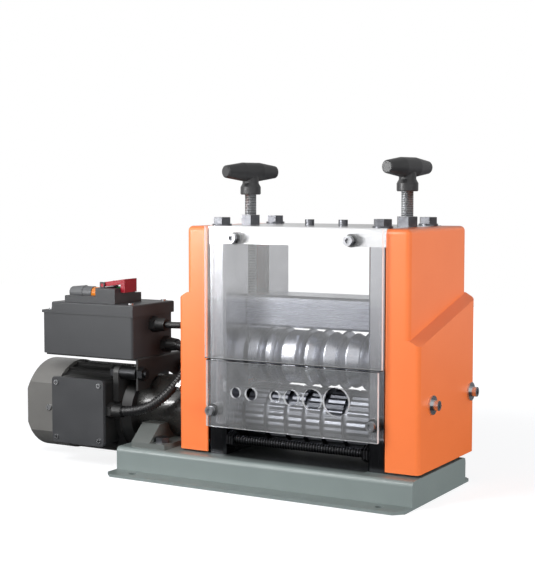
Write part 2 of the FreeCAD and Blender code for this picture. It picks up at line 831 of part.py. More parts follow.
def postPlaces(side):
    if side > 0:
        return (postNearY, postFarY)
    return (coverMiddle * 2 - postNearY, coverMiddle * 2 - postFarY)


def makeCoverFixings():
    posts = []
    washers = []
    screws = []
    for side in (-1, 1):
        plate = headX + plateOuter * side
        skin = headX + (plateOuter + coverLower) * side
        inside = headX + (plateOuter + coverLower - coverWall) * side
        seat = headX + (plateOuter + coverLower + coverWasherThick) * side
        for index, y in enumerate(postPlaces(side)):
            name = f"{'Left' if side < 0 else 'Right'}{index}"
            centre = (y, postZ)
            along = (inside, plate) if side < 0 else (plate, inside)
            posts.append(washer("Post" + name, "x", along, centre, postRadius,
                                coverScrewRadius + looseFit))
            along = (seat, skin) if side < 0 else (skin, seat)
            washers.append(washer("CoverWasher" + name, "x", along, centre, coverWasherRadius,
                                  coverScrewRadius + looseFit))
            screws.append(capScrew("CoverScrew" + name, "x", seat, side, centre,
                                   (coverHeadRadius, coverHeadHeight, coverScrewRadius,
                                    coverScrewDepth + coverWasherThick)))
    keep("cover_standoffs", group("CoverPosts", posts))
    keep("cover_washers", group("CoverWashers", washers))
    keep("cover_screws", group("CoverScrews", screws))


# ---- Clear guards in front of the rollers, on black spacers
def makeGuards():
    upperBack = plateFront - upperSpacer
    lowerBack = plateFront - lowerSpacer
    upper = block("UpperGuard", (headX - upperGuardHalf, headX + upperGuardHalf),
                  (upperBack - upperGuardThick, upperBack), (upperGuardBottom, upperGuardTop))
    lower = block("LowerGuard", (headX - lowerGuardHalf, headX + lowerGuardHalf),
                  (lowerBack - lowerGuardThick, lowerBack),
                  (lowerGuardBottom, upperGuardBottom - guardSlit))
    upperTools = []
    lowerTools = []
    spacers = []
    screws = []
    for side in (-1, 1):
        name = "Left" if side < 0 else "Right"
        centre = (headX + upperScrewSpread / 2 * side, upperScrewZ)
        front = upperBack - upperGuardThick
        upperTools.append(rod("UpperHole" + name, "y", (front - 1, upperBack + 1), centre,
                              guardScrewRadius + looseFit))
        spacers.append(washer("UpperSpacer" + name, "y", (upperBack, plateFront), centre,
                              spacerRadius, guardScrewRadius + looseFit))
        screws.append(capScrew("UpperScrew" + name, "y", front, -1, centre,
                               (guardHeadRadius, guardHeadHeight, guardScrewRadius,
                                upperGuardThick + upperSpacer + guardScrewDepth - 1)))
        centre = (headX + plateMiddle * side, lowerScrewZ)
        front = lowerBack - lowerGuardThick
        lowerTools.append(rod("LowerHole" + name, "y", (front - 1, lowerBack + 1), centre,
                              guardScrewRadius + looseFit))
        spacers.append(washer("LowerSpacer" + name, "y", (lowerBack, plateFront), centre,
                              spacerRadius, guardScrewRadius + looseFit))
        screws.append(capScrew("LowerScrew" + name, "y", front, -1, centre,
                               (guardHeadRadius, guardHeadHeight, guardScrewRadius,
                                lowerGuardThick + lowerSpacer + guardScrewDepth - 1)))
    for index, (place, half, radius) in enumerate(channels):
        lowerTools.append(rod(f"FeedHole{index}", "y",
                              (lowerBack - lowerGuardThick - 1, lowerBack + 1),
                              (headX + place, feedHoleZ), radius))
    keep("upper_guard", cut("UpperGuardDrilled", upper, upperTools))
    keep("lower_guard", cut("LowerGuardDrilled", lower, lowerTools))
    keep("guard_spacers", group("GuardSpacers", spacers))
    keep("guard_screws", group("GuardScrews", screws))


# ---- Feed roller: serrated rings on a shaft, with a groove between neighbouring channels
def grooveBetween(first, second):
    return (first[0] + first[1] + second[0] - second[1]) / 2 + headX


def makeFeedRoller():
    left = headX - plateInner + feedEndGap
    right = headX + plateInner - feedEndGap
    beyond = feedRadius + 1
    valley = feedRadius - feedGrooveDepth
    points = [(left, 0), (left, beyond)]
    for first, second in zip(channels, channels[1:]):
        groove = grooveBetween(first, second)
        points += [(groove - feedGrooveHalf, beyond), (groove - feedGrooveHalf, valley),
                   (groove + feedGrooveHalf, valley), (groove + feedGrooveHalf, beyond)]
    points += [(right, beyond), (right, 0)]
    rings = turned("FeedRings", "x", points, (feedY, feedZ))
    fluted = common("FeedFluted", rings, makeFlutes(left, right))
    shaft = rod("FeedShaft", "x", (headX - plateOuter - feedShaftReach,
                                   headX + plateOuter + gearOffset + gearWidth + shaftEnd),
                (feedY, feedZ), shaftRadius)
    keep("feed_roller", fused("FeedRoller", [fluted, shaft]))
    keep("feed_gear", makeGear("FeedGear", feedZ))
    bearings = []
    for side in (-1, 1):
        name = "FeedBearing" + ("Left" if side < 0 else "Right")
        centre = headX + plateMiddle * side
        bearings.append(washer(name, "x", (centre - bearingWidth / 2, centre + bearingWidth / 2),
                               (feedY, feedZ), bearingRadius, shaftRadius + runFit))
    keep("feed_bearings", group("FeedBearings", bearings))


# A serrated drum as long as the feed roller, made by a pattern of one V cut, which leaves a narrow
# land between each cut and the next
def makeFlutes(left, right):
    body = newBody("Flutes")
    ring = body.newObject("Sketcher::SketchObject", "FluteRing")
    ring.AttachmentSupport = [(bodyPlane(body, "YZ_Plane"), "")]
    ring.MapMode = "FlatFace"
    bind(ring, "AttachmentOffset.Base.z", left - 1)
    ring.addGeometry(Part.Circle(Vector(), Vector(0, 0, 1), feedRadius.number), False)
    ring.addConstraint(Sketcher.Constraint("Coincident", 0, 3, -1, 1))
    rule = ring.addConstraint(Sketcher.Constraint("Radius", 0, feedRadius.number))
    ring.setExpression(f"Constraints[{rule}]", feedRadius.text)
    pad(body, "FluteBlank", ring, right - left + 2)
    rim = feedRadius * math.tan(math.pi / fluteCount)
    across = rim * 4.4
    reach = feedRadius + fluteDepth * 1.4
    flute = outline(body, "Flute", "YZ_Plane", [
        (0, feedRadius - fluteDepth), (across / 2, reach), (-(across / 2), reach),
    ], left - 2)
    pocket = body.newObject("PartDesign::Pocket", "FluteCut")
    pocket.Profile = flute
    bind(pocket, "Length", right - left + 4)
    pocket.Reversed = True
    pattern = body.newObject("PartDesign::PolarPattern", "FlutePattern")
    pattern.Originals = [pocket]
    pattern.Axis = (ring, ["N_Axis"])
    pattern.Angle = 360
    pattern.Occurrences = fluteCount
    body.Tip = pattern
    bind(body, "Placement.Base.y", feedY)
    bind(body, "Placement.Base.z", feedZ)
    return body


fluteCount = 30


# ---- Spur gear: root disc and a pattern of one tooth, with a tooth upright over its axis
def makeGear(name, z):
    body = newBody(name)
    start = headX + plateOuter + gearOffset
    root = pitchRadius - gearModule * 1.25
    tip = pitchRadius + gearModule
    disc = body.newObject("Sketcher::SketchObject", name + "Disc")
    disc.AttachmentSupport = [(bodyPlane(body, "YZ_Plane"), "")]
    disc.MapMode = "FlatFace"
    bind(disc, "AttachmentOffset.Base.z", start)
    for index, radius in enumerate((root, shaftRadius + seatFit)):
        disc.addGeometry(Part.Circle(Vector(), Vector(0, 0, 1), radius.number), False)
        disc.addConstraint(Sketcher.Constraint("Coincident", index, 3, -1, 1))
        rule = disc.addConstraint(Sketcher.Constraint("Radius", index, radius.number))
        disc.setExpression(f"Constraints[{rule}]", radius.text)
    pad(body, name + "Web", disc, gearWidth)
    half = gearModule * math.pi / 4 - gearBacklash / 2
    tooth = outline(body, name + "ToothOutline", "YZ_Plane", [
        (-(half * 1.35), root - 0.4), (half * 1.35, root - 0.4), (half * 1.28, root + 0.3),
        (half, pitchRadius), (half * 0.46, tip), (-(half * 0.46), tip), (-half, pitchRadius),
        (-(half * 1.28), root + 0.3),
    ], start)
    rise = pad(body, name + "Tooth", tooth, gearWidth)
    pattern = body.newObject("PartDesign::PolarPattern", name + "Teeth")
    pattern.Originals = [rise]
    pattern.Axis = (disc, ["N_Axis"])
    pattern.Angle = 360
    bind(pattern, "Occurrences", gearTeeth)
    body.Tip = pattern
    bind(body, "Placement.Base.y", feedY)
    bind(body, "Placement.Base.z", z)
    return body


# ---- Blade roller: bevelled discs between collars that slope down to each blade
def makeBladeRoller():
    centre = (feedY, bladeZ)
    shaft = rod("BladeShaft", "x", (headX - plateOuter + shaftEnd,
                                    headX + plateOuter + gearOffset + gearWidth + shaftEnd),
                centre, shaftRadius)
    keep("blade_shaft", shaft)
    keep("blade_gear", makeGear("BladeGear", bladeZ))
    bore = shaftRadius + seatFit
    valley = collarRadius - collarSlope
    half = bladeWidth / 2
    discs = []
    for index, channel in enumerate(channels):
        x = headX + channel[0]
        discs.append(turned(f"Blade{index}", "x", [
            (x - half, bore), (x + half, bore), (x + half, bladeRadius - bladeBevel),
            (x, bladeRadius), (x - half, bladeRadius - bladeBevel),
        ], centre))
    keep("blade_discs", group("Blades", discs))
    collars = []
    for index in range(len(channels) + 1):
        if index == 0:
            start = headX - plateInner + bladeEndGap
            points = [(start, bore), (start, collarRadius)]
            limit = start
        else:
            place, reach = channels[index - 1][:2]
            start = headX + place + half
            points = [(start, bore), (start, valley)]
            limit = headX + place + reach
        if index == len(channels):
            end = headX + plateInner - bladeEndGap
            points += [(limit, collarRadius), (end, collarRadius), (end, bore)]
        else:
            place, reach = channels[index][:2]
            end = headX + place - half
            slope = headX + place - reach
            if index > 0:
                peak = grooveBetween(channels[index - 1], channels[index])
                points.append((smaller(limit, peak - 0.5), collarRadius))
                slope = larger(slope, peak + 0.5)
            points += [(slope, collarRadius), (end, valley), (end, bore)]
        collars.append(turned(f"Collar{index}", "x", points, centre))
    keep("blade_collars", group("Collars", collars))


# ---- Carriage: a block in each slot with the blade roller's bearing, joined by the press beam
def makeCarriage():
    blocks = []
    bearings = []
    for side in (-1, 1):
        name = "Left" if side < 0 else "Right"
        inner = headX + (plateInner - beamGap) * side
        outer = headX + (plateOuter - beamGap) * side
        along = (outer, inner) if side < 0 else (inner, outer)
        body = slab("Press" + name, "x", [
            (feedY - pressWidth / 2, bladeZ - pressBelow), (feedY + pressWidth / 2, bladeZ - pressBelow),
            (feedY + pressWidth / 2, pressTop), (feedY - pressWidth / 2, pressTop),
        ], along)
        through = (along[0] - 1, along[1] + 1)
        blocks.append(cut("PressBored" + name, body, [
            rod("PressBore" + name, "x", through, (feedY, bladeZ), bladeBearingRadius + seatFit),
            rod("ScrewSeat" + name, "z", (pressTop - screwInsert - runFit, pressTop + 1),
                (headX + plateMiddle * side, feedY), screwRadius + runFit * 2),
        ]))
        centre = (along[0] + along[1]) / 2
        bearings.append(washer("BladeBearing" + name, "x",
                               (centre - bearingWidth / 2, centre + bearingWidth / 2),
                               (feedY, bladeZ), bladeBearingRadius, shaftRadius + runFit))
    keep("press_blocks", group("PressBlocks", blocks))
    keep("blade_bearings", group("BladeBearings", bearings))
    reach = plateInner - beamGap
    beam = slab("PressBeam", "x", [
        (beamFront, beamBottom), (beamRear, beamBottom), (beamRear, pressTop), (beamFront, pressTop),
    ], (headX - reach, headX + reach))
    dress(beam, "Chamfer", "BeamEdges", plateEdge,
          lambda edge: runsAlong(edge, 0))
    keep("press_beam", beam)


# ---- Clamp screw, its nut on the top plate, and its T handle
def makeClamp(side):
    name = "Left" if side < 0 else "Right"
    word = name.lower()
    x = headX + plateMiddle * side
    hub = leftHubBottom if side < 0 else rightHubBottom
    screw = rod("Clamp" + name, "z", (pressTop - screwInsert, hub + hubSocket), (x, feedY), screwRadius)
    keep(word + "_clamp_screw", screw)
    nut = hexNut("ClampNut" + name, "z", (topTop, topTop + clampNutThick), (x, feedY), clampNutFlats,
                 screwRadius + runFit * 2)
    bar = turned("Bar" + name, "y", [
        (-(handleLength / 2), 0), (-(handleLength / 2), handleEndRadius - 1.2),
        (1.2 - handleLength / 2, handleEndRadius), (-(handleMiddle / 2), handleRadius),
        (handleMiddle / 2, handleRadius), (handleLength / 2 - 1.2, handleEndRadius),
        (handleLength / 2, handleEndRadius - 1.2), (handleLength / 2, 0),
    ], (asSize(0), hubHeight))
    stem = turned("Hub" + name, "z", [
        (0, screwRadius + seatFit), (0, hubRadius - 1), (1, hubRadius), (hubHeight / 3, hubRadius),
        (hubHeight / 2, hubRadius * 0.8), (hubHeight, hubRadius * 0.8), (hubHeight, 0),
        (hubSocket + 0.1, 0), (hubSocket + 0.1, screwRadius + seatFit),
    ], (asSize(0), asSize(0)))
    socket = rod("HandleSocket" + name, "z", (asSize(-1), hubSocket + 0.1), (asSize(0), asSize(0)),
                 screwRadius + seatFit)
    handle = cut("Handle" + name, fused("HandleWhole" + name, [bar, stem]), [socket])
    turn = leftHandleTurn if side < 0 else rightHandleTurn
    handle.Placement = FreeCAD.Placement(Vector(), Rotation(Vector(0, 0, 1), turn.number))
    moveTo(handle, x, feedY, hub)
    bind(handle, "Placement.Rotation.Angle", turn)
    keep(word + "_handle", handle)
    return nut


# The motor's round section with a flat at the front and rear, as wide as the given radius and gap
def flatRound(name, along, radius, gap):
    side = motorFlat + gap
    return common(name, rod(name + "Round", "x", along, (asSize(0), motorZ), radius),
                  block(name + "Flats", along, (-side, side), (motorZ - radius, motorZ + radius)))


# ---- Motor: finned body, fan cover at the far end, end shield with two ears at the gearhead
def makeMotor():
    axis = (asSize(0), motorZ)
    finPieces = [rod("MotorCore", "x", (motorLeft, motorRight), axis, motorRadius)]
    for index in range(finCount):
        angle = 360 / finCount * (index + 0.5)
        fin = doc.addObject("Part::Box", f"Fin{index}")
        bind(fin, "Length", finRight - finLeft)
        bind(fin, "Width", finThick)
        bind(fin, "Height", motorRadius + finHeight)
        turn = Rotation(Vector(1, 0, 0), angle)
        fin.Placement = FreeCAD.Placement(Vector(), turn)
        moveTo(fin, finLeft, -finThick / 2 * math.cos(math.radians(angle)),
               motorZ - finThick / 2 * math.sin(math.radians(angle)))
        finPieces.append(fin)
    reach = motorRadius + finHeight
    flats = block("MotorFlats", (motorLeft, motorRight), (-motorFlat, motorFlat),
                  (motorZ - reach, motorZ + reach))
    keep("motor_body", common("MotorBody", fused("MotorFinned", finPieces), flats))
    rim = fanLeft + fanRim
    drum = turned("FanDrum", "x", [
        (fanLeft, 0), (fanLeft, fanRadius - fanRim), (rim, fanRadius), (fanMouth, fanRadius),
        (fanMouth, 0),
    ], axis)
    side = motorFlat + fanWall
    sides = block("FanSides", (fanLeft, fanMouth), (-side, side),
                  (motorZ - fanRadius, motorZ + fanRadius))
    keep("fan_cover", cut("FanCover", common("FanBlank", drum, sides), [
        flatRound("FanInside", (motorLeft, fanMouth + 1), motorRadius + seatFit, seatFit),
    ]))
    screws = []
    for name, along in (("Front", (-side - fanScrewHead, -side)), ("Rear", (side, side + fanScrewHead))):
        screws.append(rod("FanScrew" + name, "y", along, (fanMouth - fanScrewInset, motorZ),
                          fanScrewRadius))
    keep("fan_cover_screws", group("FanScrews", screws))
    ears = []
    for name, y in (("FrontEar", -earY), ("RearEar", earY)):
        ears.append(rod(name, "x", (motorRight, motorRight + shieldStep), (y, earZ), earRadius))
        low = (y - earRadius, y) if name == "FrontEar" else (y, y + earRadius)
        ears.append(block(name + "Web", (motorRight, motorRight + shieldStep), low,
                          (motorZ + motorRadius / 3, earZ)))
        inward = (y, y + earRadius * 2) if name == "FrontEar" else (y - earRadius * 2, y)
        ears.append(block(name + "Root", (motorRight, motorRight + shieldStep), inward,
                          (motorZ + motorRadius / 3, earZ - earRadius / 2)))
    shield = fused("ShieldWhole", [
        rod("ShieldDisc", "x", (motorRight, motorRight + shieldStep), axis, motorRadius),
        cone("ShieldTaper", "x", (motorRight + shieldStep, shieldRight), axis,
             motorRadius - shieldTaper, motorRadius - shieldTaper * 3),
    ] + ears)
    holes = []
    for name, y in (("FrontEarHole", -earY), ("RearEarHole", earY)):
        holes.append(rod(name, "x", (motorRight - 1, motorRight + shieldStep + 1), (y, earZ),
                         bracketBoltRadius + looseFit))
    keep("end_shield", cut("EndShield", shield, holes))


finCount = 20


def makeGearhead():
    centre = (feedY, feedZ)
    flangeRight = headX - plateOuter
    barrel = bevelledRound("Barrel", (shieldRight, barrelRight), (barrelY, barrelZ), barrelRadius,
                           barrelRound)
    pieces = [
        barrel,
        rod("Neck", "x", (barrelRight - 1, neckRight + 1), centre, neckRadius),
        rod("GearFlange", "x", (neckRight, flangeRight), centre, gearFlangeRadius),
    ]
    tools = [rod("OutputBore", "x", (headX - plateOuter - feedShaftReach - 1, flangeRight + 1), centre,
                 shaftRadius + runFit)]
    bolts = []
    for index in range(3):
        place = gearFlangeCentre(index)
        tools.append(rod(f"FlangeHole{index}", "x", (neckRight - 1, flangeRight + 1), place,
                         gearBoltRadius + looseFit))
        bolts.append(capScrew(f"FlangeBolt{index}", "x", neckRight, -1, place,
                              (gearBoltHead, gearBoltHead, gearBoltRadius, gearFlangeThick + 12)))
    keep("gear_housing", cut("GearHousing", fused("GearHousingWhole", pieces), tools))
    keep("gearhead_bolts", group("GearheadBolts", bolts))


# A round body with a bevelled far end
def bevelledRound(name, along, centre, radius, bevel):
    return turned(name, "x", [(along[0], 0), (along[0], radius), (along[1] - bevel, radius),
                              (along[1], radius - bevel), (along[1], 0)], centre)


def makeFoot():
    rise = baseHeight + footPad
    web = slab("FootWeb", "x", [
        (footToe, baseHeight), (footHeel, baseHeight), (footHeel, rise),
        (footHeel - footSlope + 8, footTop), (footToe + footSlope, footTop), (footToe, rise),
    ], (footLeft, footRight))
    base = block("FootPad", (footRight - 1, footPadRight), (footToe, footHeel), (baseHeight, rise))
    tools = [rod("BarrelSeat", "x", (footLeft - 1, footPadRight + 1), (barrelY, barrelZ),
                 barrelRadius + seatFit)]
    bolts = []
    for index, y in enumerate((footToe + footBoltInset, footHeel - footBoltInset)):
        centre = (footBoltX, y)
        tools.append(rod(f"FootBoltHole{index}", "z", (baseHeight - 1, rise + 1), centre,
                         footBoltRadius + looseFit))
        bolts.append(fused(f"FootBolt{index}", [
            hexagon(f"FootBoltHead{index}", "z", (rise, rise + footBoltHead), centre, footBoltFlats),
            rod(f"FootBoltStem{index}", "z", (baseHeight - trayWall - 6, rise), centre, footBoltRadius),
        ]))
    keep("motor_foot", cut("MotorFoot", fused("FootWhole", [web, base]), tools))
    keep("foot_bolts", group("FootBolts", bolts))


# A cable gland that points along +X: hexagon, then a domed cap round the cord
def gland(name, start, centre, bore):
    nut = hexagon(name + "Nut", "x", (start, start + glandNut), centre, glandFlats)
    cap = cone(name + "Cap", "x", (start + glandNut, start + glandLength), centre,
               glandDomeRadius + 0.6, glandDomeRadius - 0.8)
    return cut(name, fused(name + "Whole", [nut, cap]),
               [rod(name + "Bore", "x", (start + glandNut / 2, start + glandLength + 1), centre, bore)])


boxScrews = []


def makeTerminalBox():
    back = terminalFront + terminalDepth
    seam = terminalFront + terminalLidThick
    box = slab("TerminalBody", "y", [
        (terminalLeft + 1, terminalBottom + 1), (terminalRight - 1, terminalBottom + 1),
        (terminalRight - 1, terminalTop - 1), (terminalLeft + 1, terminalTop - 1),
    ], (seam, back))
    dress(box, "Fillet", "TerminalBodyCorners", terminalRound, lambda edge: runsAlong(edge, 1))
    keep("terminal_box", cut("TerminalBox", box, [
        flatRound("TerminalSaddle", (terminalLeft, terminalRight), motorRadius + finHeight + runFit,
                  asSize(0)),
    ]))
    lid = slab("TerminalLid", "y", [
        (terminalLeft, terminalBottom), (terminalRight, terminalBottom),
        (terminalRight, terminalTop), (terminalLeft, terminalTop),
    ], (terminalFront, seam))
    dress(lid, "Fillet", "TerminalLidCorners", terminalRound, lambda edge: runsAlong(edge, 1))
    keep("terminal_lid", lid)
    screws = []
    for index, (x, z) in enumerate((
            (terminalLeft + terminalScrewInset, terminalBottom + terminalScrewInset),
            (terminalRight - terminalScrewInset, terminalBottom + terminalScrewInset),
            (terminalRight - terminalScrewInset, terminalTop - terminalScrewInset),
            (terminalLeft + terminalScrewInset, terminalTop - terminalScrewInset))):
        screws.append(rod(f"TerminalScrew{index}", "y", (terminalFront - 1.2, terminalFront), (x, z),
                          terminalScrewRadius))
    boxScrews.extend(screws)
    keep("terminal_gland", gland("TerminalGland", terminalRight - 1,
                                 (terminalGlandY, terminalGlandZ), leadRadius + seatFit))


def makeBracket():
    under = bracketTop - bracketWall
    bracket = slab("SwitchBracket", "y", [
        (bracketLeft, under), (bracketRight - bracketWall, under), (bracketRight - bracketWall, bracketDrop),
        (bracketRight, bracketDrop), (bracketRight, bracketTop), (bracketLeft, bracketTop),
    ], (bracketFront, bracketRear))
    dress(bracket, "Fillet", "BracketBend", bracketWall,
          lambda edge: runsAlong(edge, 1) and near(middle(edge).x, bracketRight)
          and near(middle(edge).z, bracketTop))
    flange = bracketRight - bracketWall
    ear = motorRight + shieldStep
    holes = [rod("BarrelArch", "x", (flange - 1, bracketRight + 1), (barrelY, barrelZ),
                 barrelRadius + archGap)]
    bolts = []
    spacers = []
    for name, y in (("Front", -earY), ("Rear", earY)):
        centre = (y, earZ)
        holes.append(rod("BracketHole" + name, "x", (flange - 1, bracketRight + 1), centre,
                         bracketBoltRadius + looseFit))
        spacers.append(washer("BracketSpacer" + name, "x", (ear, flange), centre, bushRadius,
                              bracketBoltRadius + looseFit))
        nutEnd = bracketRight + bracketNutThick
        bolts.append(fused("BracketBolt" + name, [
            rod("BracketStem" + name, "x", (motorRight, nutEnd + 3), centre, bracketBoltRadius),
            hexagon("BracketHead" + name, "x", (motorRight - 5, motorRight), centre, bracketNutFlats),
        ]))
        bolts.append(hexNut("BracketNut" + name, "x", (bracketRight, nutEnd), centre, bracketNutFlats,
                            bracketBoltRadius + seatFit))
    keep("switch_bracket", cut("BracketDrilled", bracket, holes))
    keep("bracket_spacers", group("BracketSpacers", spacers))
    keep("bracket_bolts", group("BracketBolts", bolts))


def makeSwitchBox():
    box = slab("SwitchBoxBody", "z", [
        (boxLeft, boxFront), (boxRight, boxFront), (boxRight, boxRear), (boxLeft, boxRear),
    ], (boxBottom, boxTop))
    dress(box, "Fillet", "SwitchBoxCorners", boxRound, lambda edge: runsAlong(edge, 2))
    keep("switch_box", box)
    stepX = boxLeft + lidStep
    lid = slab("SwitchLid", "y", [
        (boxLeft, boxTop), (boxRight + lidLip, boxTop), (boxRight + lidLip, lidTop), (stepX, lidTop),
        (stepX, boxTop + lidHeight - lidCove), (stepX - lidCove / 2, boxTop + 3),
        (boxLeft, boxTop + 3),
    ], (boxFront - lidLip, boxRear + lidLip))
    dress(lid, "Fillet", "LidEdges", boxRound / 2,
          lambda edge: near(edge.BoundBox.ZMin, lidTop) and near(edge.BoundBox.ZMax, lidTop))
    body = switchBody()
    socket = block("SwitchSeat", (blockLeft + switchSeat, switchRight - switchSeat),
                   (switchFront + switchSeat, switchRear - switchSeat), (lidTop - 3, lidTop + 1))
    keep("switch_lid", cut("SwitchLidCut", lid, [socket]))
    screws = []
    for index, (x, y) in enumerate(((boxLeft + lidScrewInset, boxFront + lidScrewInset),
                                    (boxLeft + lidScrewInset, boxRear - lidScrewInset))):
        screws.append(rod(f"LidScrew{index}", "z", (boxTop + 3, boxTop + 4.6), (x, y),
                          lidScrewRadius))
    for index, y in enumerate((boxFront + lidScrewInset, boxRear - lidScrewInset)):
        screws.append(rod(f"LidScrewRight{index}", "z", (lidTop, lidTop + 1.6),
                          (boxRight - lidScrewInset, y), lidScrewRadius))
    keep("box_screws", group("BoxScrews", boxScrews + screws))
    keep("switch_housing", body)
    keep("switch_glands", group("SwitchGlands", [
        gland("CordGland", boxRight, (cordGlandY, cordGlandZ), cordRadius + seatFit),
        gland("LeadGland", boxRight, (leadGlandY, leadGlandZ), leadRadius + seatFit),
    ]))


# The switch body on the lid: a low plinth with a trough for the knob, and a block with two bores for
# its buttons and two ears for the pin of the paddle
def switchBody():
    trough = rod("KnobTrough", "x", (switchLeft - 1, blockLeft), (paddleY, knobZ),
                 knobRadius + slideFit)
    plinth = cut("SwitchPlinth", block("PlinthBlank", (switchLeft, blockLeft + 1),
                                       (switchFront, switchRear), (lidTop, lidTop + plinthHeight)),
                 [trough])
    body = slab("SwitchBlock", "x", [
        (switchFront, lidTop), (switchRear, lidTop), (switchRear, lidTop + switchStep),
        (switchStepY, lidTop + switchStep), (switchStepY - switchSlope, switchTop),
        (switchFront, switchTop),
    ], (blockLeft, switchRight))
    dress(body, "Fillet", "SwitchEdge", switchRound,
          lambda edge: runsAlong(edge, 0) and near(middle(edge).z, switchTop)
          and near(middle(edge).y, switchFront))
    inset = switchSeat + looseFit
    foot = block("SwitchFoot", (blockLeft + inset, switchRight - inset),
                 (switchFront + inset, switchRear - inset), (lidTop - 3, lidTop + 1))
    ears = []
    for name, side in (("Front", -1), ("Rear", 1)):
        y = paddleY + (paddleWidth / 2 + slideFit) * side
        ears.append(block("PinEar" + name, (blockLeft, pinX + paddlePinInset),
                          (y - pinEarThick, y) if side < 0 else (y, y + pinEarThick),
                          (switchTop - 1, pinZ + pinEarTop)))
    tools = []
    for index, x in enumerate((blockLeft + buttonFirst, blockLeft + buttonSecond)):
        tools.append(rod(f"ButtonBore{index}", "z", (switchTop - buttonSocket, switchTop + 1),
                         (x, paddleY), buttonRadius + slideFit))
    tools.append(rod("PinHole", "y", (paddleY - paddleWidth, paddleY + paddleWidth), (pinX, pinZ),
                     paddlePinRadius + runFit))
    return cut("SwitchHousing", fused("SwitchWhole", [plinth, body, foot] + ears), tools)


def makeSwitchParts():
    half = paddleWidth / 2
    lip = switchRight + slideFit * 2
    plate = slab("PaddlePlate", "y", [
        (pinX - paddleHeel, pinZ - paddleUnder), (pinX + 1, pinZ - paddleUnder),
        (lip, pinZ + paddleUnder), (lip, switchTop - paddleLip),
        (switchRight + paddleReach, switchTop - paddleLip),
        (switchRight + paddleReach, pinZ + paddleTop + paddleLift),
        (pinX - paddleHeel, pinZ + paddleTop),
    ], (paddleY - half, paddleY + half))
    reach = half + slideFit + pinEarThick
    pin = rod("PaddlePin", "y", (paddleY - reach, paddleY + reach), (pinX, pinZ), paddlePinRadius)
    keep("switch_paddle", fused("Paddle", [plate, pin]))
    top = switchTop + buttonRise
    for label, x in (("stop_button", blockLeft + buttonFirst), ("start_button", blockLeft + buttonSecond)):
        keep(label, turned(label.title().replace("_", ""), "z", [
            (top - buttonHeight, 0), (top - buttonHeight, buttonRadius), (top - 0.6, buttonRadius),
            (top, buttonRadius - 0.6), (top, 0),
        ], (x, paddleY)))
    ribs = knobRight - knobLength + knobRibs
    left = knobRight - knobLength
    keep("switch_knob", turned("SwitchKnob", "x", [
        (left, 0), (left, knobRadius - 2.5), (left + 1.5, knobRadius - 1.7), (ribs, knobRadius),
        (ribs + 1, knobRadius - 0.8), (knobRight, knobRadius - 0.8), (knobRight, 0),
    ], (paddleY, knobZ)))
    keep("switch_lamp", rod("SwitchLamp", "x", (knobRight, blockLeft), (paddleY, knobZ),
                            knobRadius - 1.5))


# ---- Cords: straight runs joined by tangent arcs
def tube(name, label, points, radius):
    path = []
    start = points[0]
    least = None
    for before, corner, after in zip(points, points[1:], points[2:]):
        into = corner - before
        out = after - corner
        half = into.getAngle(out) / 2
        setback = 0.45 * min(into.Length, out.Length)
        bend = setback / math.tan(half)
        least = bend if least is None else min(least, bend)
        into.normalize()
        out.normalize()
        first = corner - into * setback
        last = corner + out * setback
        inward = out - into
        inward.normalize()
        centre = corner + inward * (bend / math.cos(half))
        top = corner - centre
        top.normalize()
        path.append(Part.LineSegment(start, first).toShape())
        path.append(Part.Arc(first, centre + top * bend, last).toShape())
        start = last
    path.append(Part.LineSegment(start, points[-1]).toShape())
    wire = Part.Wire(path)
    section = Part.Wire([Part.Circle(points[0], points[1] - points[0], radius.number).toShape()])
    solid = wire.makePipeShell([section], True, False)
    expected = math.pi * radius.number ** 2 * wire.Length
    print(f"{label}: length {wire.Length:.1f} mm, least bend {least:.1f} mm, "
          f"volume {solid.Volume / expected:.4f} of section times length")
    item = doc.addObject("Part::Feature", name)
    item.Shape = solid
    keep(label, item)


# A point of a cord's route, its x measured from the side of the switch box
def routePoint(x, y, z):
    return Vector(boxRight.number + x, asSize(y).number, asSize(z).number)


def makeCords():
    mouth = (glandNut / 2).number
    leadStart = (terminalRight - boxRight).number - 1 + mouth
    leadPoints = [
        routePoint(leadStart, terminalGlandY, terminalGlandZ),
        routePoint(9, terminalGlandY, terminalGlandZ),
        routePoint(38, -43, 80),
        routePoint(47, -8, 113),
        routePoint(30, leadGlandY, leadGlandZ),
        routePoint(mouth, leadGlandY, leadGlandZ),
    ]
    tube("MotorLead", "motor_lead", leadPoints, leadRadius)
    # The cord runs into the outermost turn of the coil, along that turn
    outerTurn = coilMiddle + (coilAcross - 1) * cordRadius
    floor = cordRadius + runFit
    cordPoints = [
        routePoint(mouth, cordGlandY, cordGlandZ),
        routePoint(27, cordGlandY, cordGlandZ),
        routePoint(42, -3.8, 153),
        routePoint(51.5, 12.7, 152.5),
        routePoint(52, 46, 144),
        routePoint(43, 92, 92),
        routePoint(74.8, 109.4, 19.8),
        routePoint(79.3, 124.5, 7.5),
        routePoint((coilReach - outerTurn).number, 140, floor),
        routePoint((coilReach - outerTurn).number, coilY, floor),
    ]
    tube("MainsCord", "mains_cord", cordPoints, cordRadius)
    thick = cordRadius * 2
    outer = coilMiddle + coilAcross * cordRadius
    inner = coilMiddle - coilAcross * cordRadius
    coil = cut("Coil", rod("CoilOuter", "z", (asSize(0), thick * coilLayers), (coilX, coilY), outer),
               [rod("CoilInner", "z", (asSize(-1), thick * coilLayers + 1), (coilX, coilY), inner)])
    keep("mains_coil", coil)
    makePlug(thick * coilLayers)


